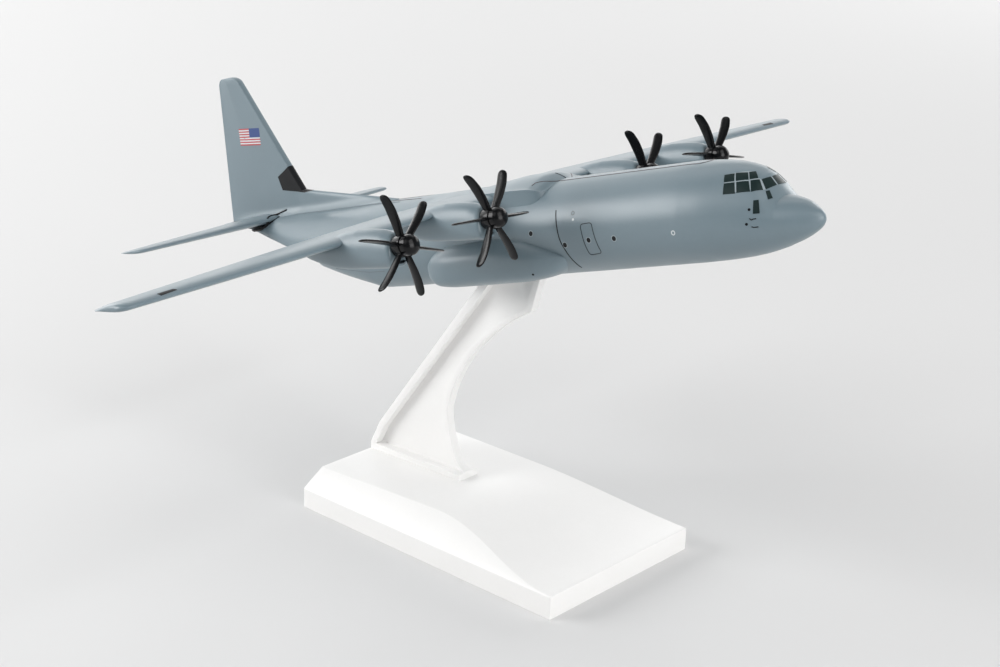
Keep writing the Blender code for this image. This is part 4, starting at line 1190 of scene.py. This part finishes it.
def make_side_marks(skin):
    panes = [mirrored(grown(corners), side) for side in (-1, 1) for corners in PANES]
    panes.append(mirrored(grown(RIGHT_PANE), -1))
    printed("cockpit_panes", skin, panes, PANE, lift=PANE_LIFT)
    frames = [mirrored(corners, side) for side in (-1, 1) for corners in FRAMES]
    printed("cockpit_frames", skin, frames, RIM, 16, FRAME_LIFT)
    door = rounded(DOOR, DOOR_CORNER)
    door = refined(door + door[:1], 0.5)[:-1]
    for side, label in SIDES:
        lines("door_line_" + label, [from_side(skin, side, door)], DOOR_LINE, FINE_INK, closed=True)
        for name, places, radius, inner, ink in ROUND_MARKS:
            dots(name + label, skin, from_side(skin, side, places), radius, ink, inner)
        probes = [refined(from_side(skin, side, track), 0.0003) for track in PROBES]
        lines("probe_marks_" + label, probes, WALK_LINE, INK)
        lines("band_line_" + label, [band_path(skin, side)], BAND_LINE, INK)


# Marks on the back, in millimetres. The walkway's line has a rear end, a front end, half its width and
# the reach of its round front; its rear part is given by station and distance from the middle
WALK_REAR = 80.0
WALK_FRONT = 34.0
WALK_HALF_WIDTH = 2.9
WALK_ROUND = 3.4
WALK_TAIL = ((135.5, 2.8), (150.0, 1.6))
CROWN_WALK = ((80.3, -2.4, 14.2), (82.5, -4.6, 14.5), (85.4, -7.0, 14.7), (85.7, -8.4, 14.2))
CROWN_FRONT = ((80.8, 0.1, 14.4), (82.4, 0.1, 15.2), (84.1, -0.1, 15.9))
TAIL_SEAM = ((144, 3.4), (158, 2.9), (172, 2.6), (200, 2.4))
CREASE = ((168, -12.3, -2.6), (161.3, -12.95, -3.4), (152.2, -13.3, -4.5), (145.5, -13.4, -4.6))


def make_back_marks(skin, crown):
    straight = spaced(WALK_REAR, WALK_FRONT, 59)
    walk = [(s, -WALK_HALF_WIDTH) for s in straight]
    for angle in lerped(0.0, math.pi, 16)[1:]:
        walk.append((WALK_FRONT - WALK_ROUND * math.sin(angle), -WALK_HALF_WIDTH * math.cos(angle)))
    walk += [(s, WALK_HALF_WIDTH) for s in reversed(straight)]
    paths = [from_above([skin], walk)]
    stations, reaches = (spaced(*ends, 20) for ends in zip(*WALK_TAIL))
    for side in (-1, 1):
        paths.append(from_above([skin], [(s, side * y) for s, y in zip(stations, reaches)]))
    lines("walkway_lines", paths, WALK_LINE, WALK)
    seams = []
    for side in (-1, 1):
        stations = spaced(TAIL_SEAM[0][0], TAIL_SEAM[-1][0], 50)
        seams.append(from_above([skin], [(s, side * curve_value(TAIL_SEAM, s)) for s in stations]))
    seams += [laid([skin], mirrored(CREASE, side), 0.001) for side in (-1, 1)]
    lines("tail_seams", seams, SEAM_LINE, SEAM)
    walks = [laid([crown], mirrored(CROWN_WALK, side)) for side in (-1, 1)]
    lines("crown_walkway_lines", walks, WALK_LINE, WALK)
    lines("crown_front_line", [laid([crown], mirrored(CROWN_FRONT, -1))], SEAM_LINE, FINE_INK)


# The fin's black panel by station and height, and how far it stands off, in metres
FIN_PANEL = ((0.1850, 0.0206), (0.1889, 0.0203), (0.1985, 0.0220), (0.1997, 0.0263), (0.1938, 0.0292),
             (0.1900, 0.0292))
FIN_PANEL_LIFT = 0.00006
FIN_PANEL_REACH = 0.006
# The tailplane's painted gap shade, a black rim in the gap round its root: how far it stands out round the
# root, lies lower and stands off, in metres
GAP_SHADE_GROWTH = 0.00042
GAP_SHADE_SINK = 0.0002
GAP_SHADE_LIFT = 0.00012
# The striped panel's corners by station and height, and the painted shade lines along the gap at the
# tailplane's root, in millimetres
STRIPED_PANEL = ((214.7, 43.2), (204.3, 42.4), (205.1, 37.0), (215.5, 37.9))
STRIPES = 13
BLUE_ROWS = 7
BLUE_START = 0.51
ROOT_UNDER = ((212, -6.0, 10.9), (210.1, -6.7, 11.1), (205.7, -7.4, 11.0), (203.4, -7.3, 12.0),
              (202.4, -6.9, 13.2))
ROOT_OVER = ((202.4, 6.9), (203.2, 5.6), (203.6, 4.2), (203.2, 3.0), (201.5, 2.3), (198.3, 1.9))


def painted_root_gap_shade(side):
    """Painted shade of the gap round the tailplane's root: a thin black rim standing on the fuselage's skin.
    """
    rings = []
    for y in (0.0, RADIUS * 0.35, RADIUS * 0.7, RADIUS):
        lead, chord = tailplane_at(y)
        rings.append(aerofoil_ring(lead, side * y, TAILPLANE_HEIGHT, chord, TAILPLANE_THICKNESS,
                                   grow=GAP_SHADE_GROWTH, sink=GAP_SHADE_SINK))
    return combined("gap", loft("grown", fuselage_rings(GAP_SHADE_LIFT, 72)), loft("around", rings), "INTERSECT")


def striped_quad(rows, across):
    """Corners of a rectangle of the striped panel, by its rows and its shares of the width."""
    a, b, c, d = (Vector(corner) for corner in STRIPED_PANEL)
    top, bottom = (row / STRIPES for row in rows)
    return [mix(mix(a, d, down), mix(b, c, down), share) for down, share in
            ((top, across[0]), (top, across[1]), (bottom, across[1]), (bottom, across[0]))]


def make_tail_marks(fin):
    block = loft("block", [[at(s, y, z) for s, z in FIN_PANEL] for y in (-FIN_PANEL_REACH, FIN_PANEL_REACH)])
    panel = combined("panel", fin_mesh(FIN_PANEL_LIFT), block, "INTERSECT")
    show("fin_black_panel", smoothed(panel, 40), INK)
    inks = {"red": RED, "white": PALE, "blue": BLUE}
    for side, label in SIDES:
        quads = {"red": [], "white": [], "blue": [striped_quad((0, BLUE_ROWS), (BLUE_START, 1.0))]}
        for row in range(STRIPES):
            stop = BLUE_START if row < BLUE_ROWS else 1.0
            quads["white" if row % 2 else "red"].append(striped_quad((row, row + 1), (0.0, stop)))
        for ink, shapes in quads.items():
            panels = [from_side(fin, side, quad) for quad in shapes]
            printed("striped_panel_%s_%s" % (ink, label), fin, panels, inks[ink], 3)
    # Painted shade of the gap round the tailplane's root: a black rim on the fuselage, and black lines under
    # and over the root
    for side, label in SIDES:
        show("tailplane_gap_shade_" + label, painted_root_gap_shade(side), INK)
        skins = [skin_of("fuselage_skin"), fin, skin_of("tailplane_skin_" + label)]
        under = laid(skins, mirrored(ROOT_UNDER, side))
        lines("tail_root_gap_shade_under_" + label, [under], ROOT_UNDER_LINE, INK)
        over = from_above(skins, [(s, side * y) for s, y in ROOT_OVER])
        lines("tail_root_gap_shade_over_" + label, [refined(over, 0.0006)], ROOT_OVER_LINE, INK)


# Marks on the wings' edges and the sponsons, in millimetres, and the dot's radius in metres
WING_MARK = ((100.8, 123.2), (100.8, 118.5), (99.8, 118.0), (99.6, 123.0))
SPONSON_DOT = ((83.4, -17.0, -8.6),)
SPONSON_DOT_RADIUS = 0.00036


def make_wing_marks():
    for side, label in SIDES:
        place = mirrored(SPONSON_DOT, side)
        dots("sponson_dot_" + label, skin_of("sponson_skin_" + label), place, SPONSON_DOT_RADIUS, INK)
        wing = skin_of("wing_skin_" + label)
        panel = from_above([wing], [(s, side * y) for s, y in WING_MARK])
        printed("wing_edge_mark_" + label, wing, [panel], INK, 4)


make_body()
make_wings_and_engines()
make_propellers()
make_stand()
fuselage_skin = skin_of("fuselage_skin")
make_side_marks(fuselage_skin)
make_back_marks(fuselage_skin, skin_of("wing_centre_skin"))
make_tail_marks(skin_of("tail_fin_skin"))
make_wing_marks()


# Studio: pale floor, soft lights and the photograph's camera

FLOOR_REACH = 6.0
FLOOR_GREYS = (0.70, 0.72)
ROOM_LIGHT = 0.12
MODEL = (0, 0, 0.08)
# Soft boxes: place, target, width and height in metres, watts
LIGHTS = {
    "far_ceiling": ((-0.74, 0.81, 1.30), (-0.67, 0.74, 0), (2.0, 1.0), 8.0),
    "far_wall": ((-1.28, 1.40, 0.50), (0, 0, 0.2), (3.0, 0.9), 15.5),
    "left_box": ((-0.85, -0.77, 0.47), MODEL, (0.75, 0.60), 11.2),
    "far_left_box": ((-1.45, 0.07, 0.41), MODEL, (0.95, 0.7), 4.5),
    "far_right_box": ((0.07, 1.45, 0.41), MODEL, (0.95, 0.7), 5.0),
    "near_right_box": ((1.45, -0.07, 0.41), MODEL, (0.95, 0.7), 10.5),
    "right_ceiling": ((1.06, -0.05, 1.11), MODEL, (0.95, 0.95), 8.0),
    "left_ceiling": ((-0.05, -1.06, 1.11), MODEL, (0.95, 0.95), 3.4),
}
# The photograph's camera: focal length and picture width in pixels, turn in degrees, place in metres
FOCAL_PIXELS = 1849.03
PHOTO_WIDTH = 1000
CAMERA_TURN = (132.330, -20.232, 1.298)
CAMERA_PLACE = (0.337752, -0.368735, 0.246200)


def make_floor():
    shape = bmesh.new()
    bmesh.ops.create_grid(shape, x_segments=1, y_segments=1, size=FLOOR_REACH)
    floor = add("studio_floor", to_mesh("studio_floor", shape))
    made, tree, shader = new_material("studio_floor_card", Roughness=0.9, Specular_IOR_Level=0.1)
    place = node(tree, "ShaderNodeTexCoord", (-900, 0))
    cloud = node(tree, "ShaderNodeTexNoise", (-700, 0), Scale=1.5, Detail=2.0)
    ramp = node(tree, "ShaderNodeValToRGB", (-450, 0))
    for stop, value in zip(ramp.color_ramp.elements, FLOOR_GREYS):
        stop.color = (value, value, value, 1.0)
    wire(tree, ((place, "Object", cloud, "Vector"), (cloud, "Fac", ramp, "Fac"),
                (ramp, "Color", shader, "Base Color")))
    floor.data.materials.append(made)


def make_studio():
    world = bpy.data.worlds.new("studio_room")
    world.use_nodes = True
    back = world.node_tree.nodes["Background"]
    back.inputs["Color"].default_value = (1.0, 1.0, 1.0, 1.0)
    back.inputs["Strength"].default_value = ROOM_LIGHT
    bpy.context.scene.world = world
    for name, (place, target, size, watts) in LIGHTS.items():
        light = bpy.data.lights.new(name, "AREA")
        light.shape = "RECTANGLE"
        light.size, light.size_y = size
        light.energy = watts
        made = add(name, light)
        made.location = place
        made.rotation_euler = (Vector(target) - Vector(place)).to_track_quat("-Z", "Y").to_euler()


def make_camera():
    yaw, pitch, roll = (math.radians(angle) for angle in CAMERA_TURN)
    look = Vector((math.cos(yaw) * math.cos(pitch), math.sin(yaw) * math.cos(pitch), math.sin(pitch)))
    right = look.cross(Vector((0, 0, 1))).normalized()
    up = right.cross(look)
    across = right * math.cos(roll) + up * math.sin(roll)
    upright = up * math.cos(roll) - right * math.sin(roll)
    data = bpy.data.cameras.new("photo_camera")
    data.sensor_fit = "HORIZONTAL"
    data.sensor_width = 36.0
    data.lens = FOCAL_PIXELS / PHOTO_WIDTH * data.sensor_width
    data.clip_start = 0.01
    data.clip_end = 50.0
    camera = add("photo_camera", data)
    turn = Matrix((across, upright, -look)).transposed().to_4x4()
    camera.matrix_world = Matrix.Translation(CAMERA_PLACE) @ turn
    bpy.context.scene.camera = camera
    bpy.context.scene.view_settings.view_transform = "Standard"


make_floor()
make_studio()
make_camera()
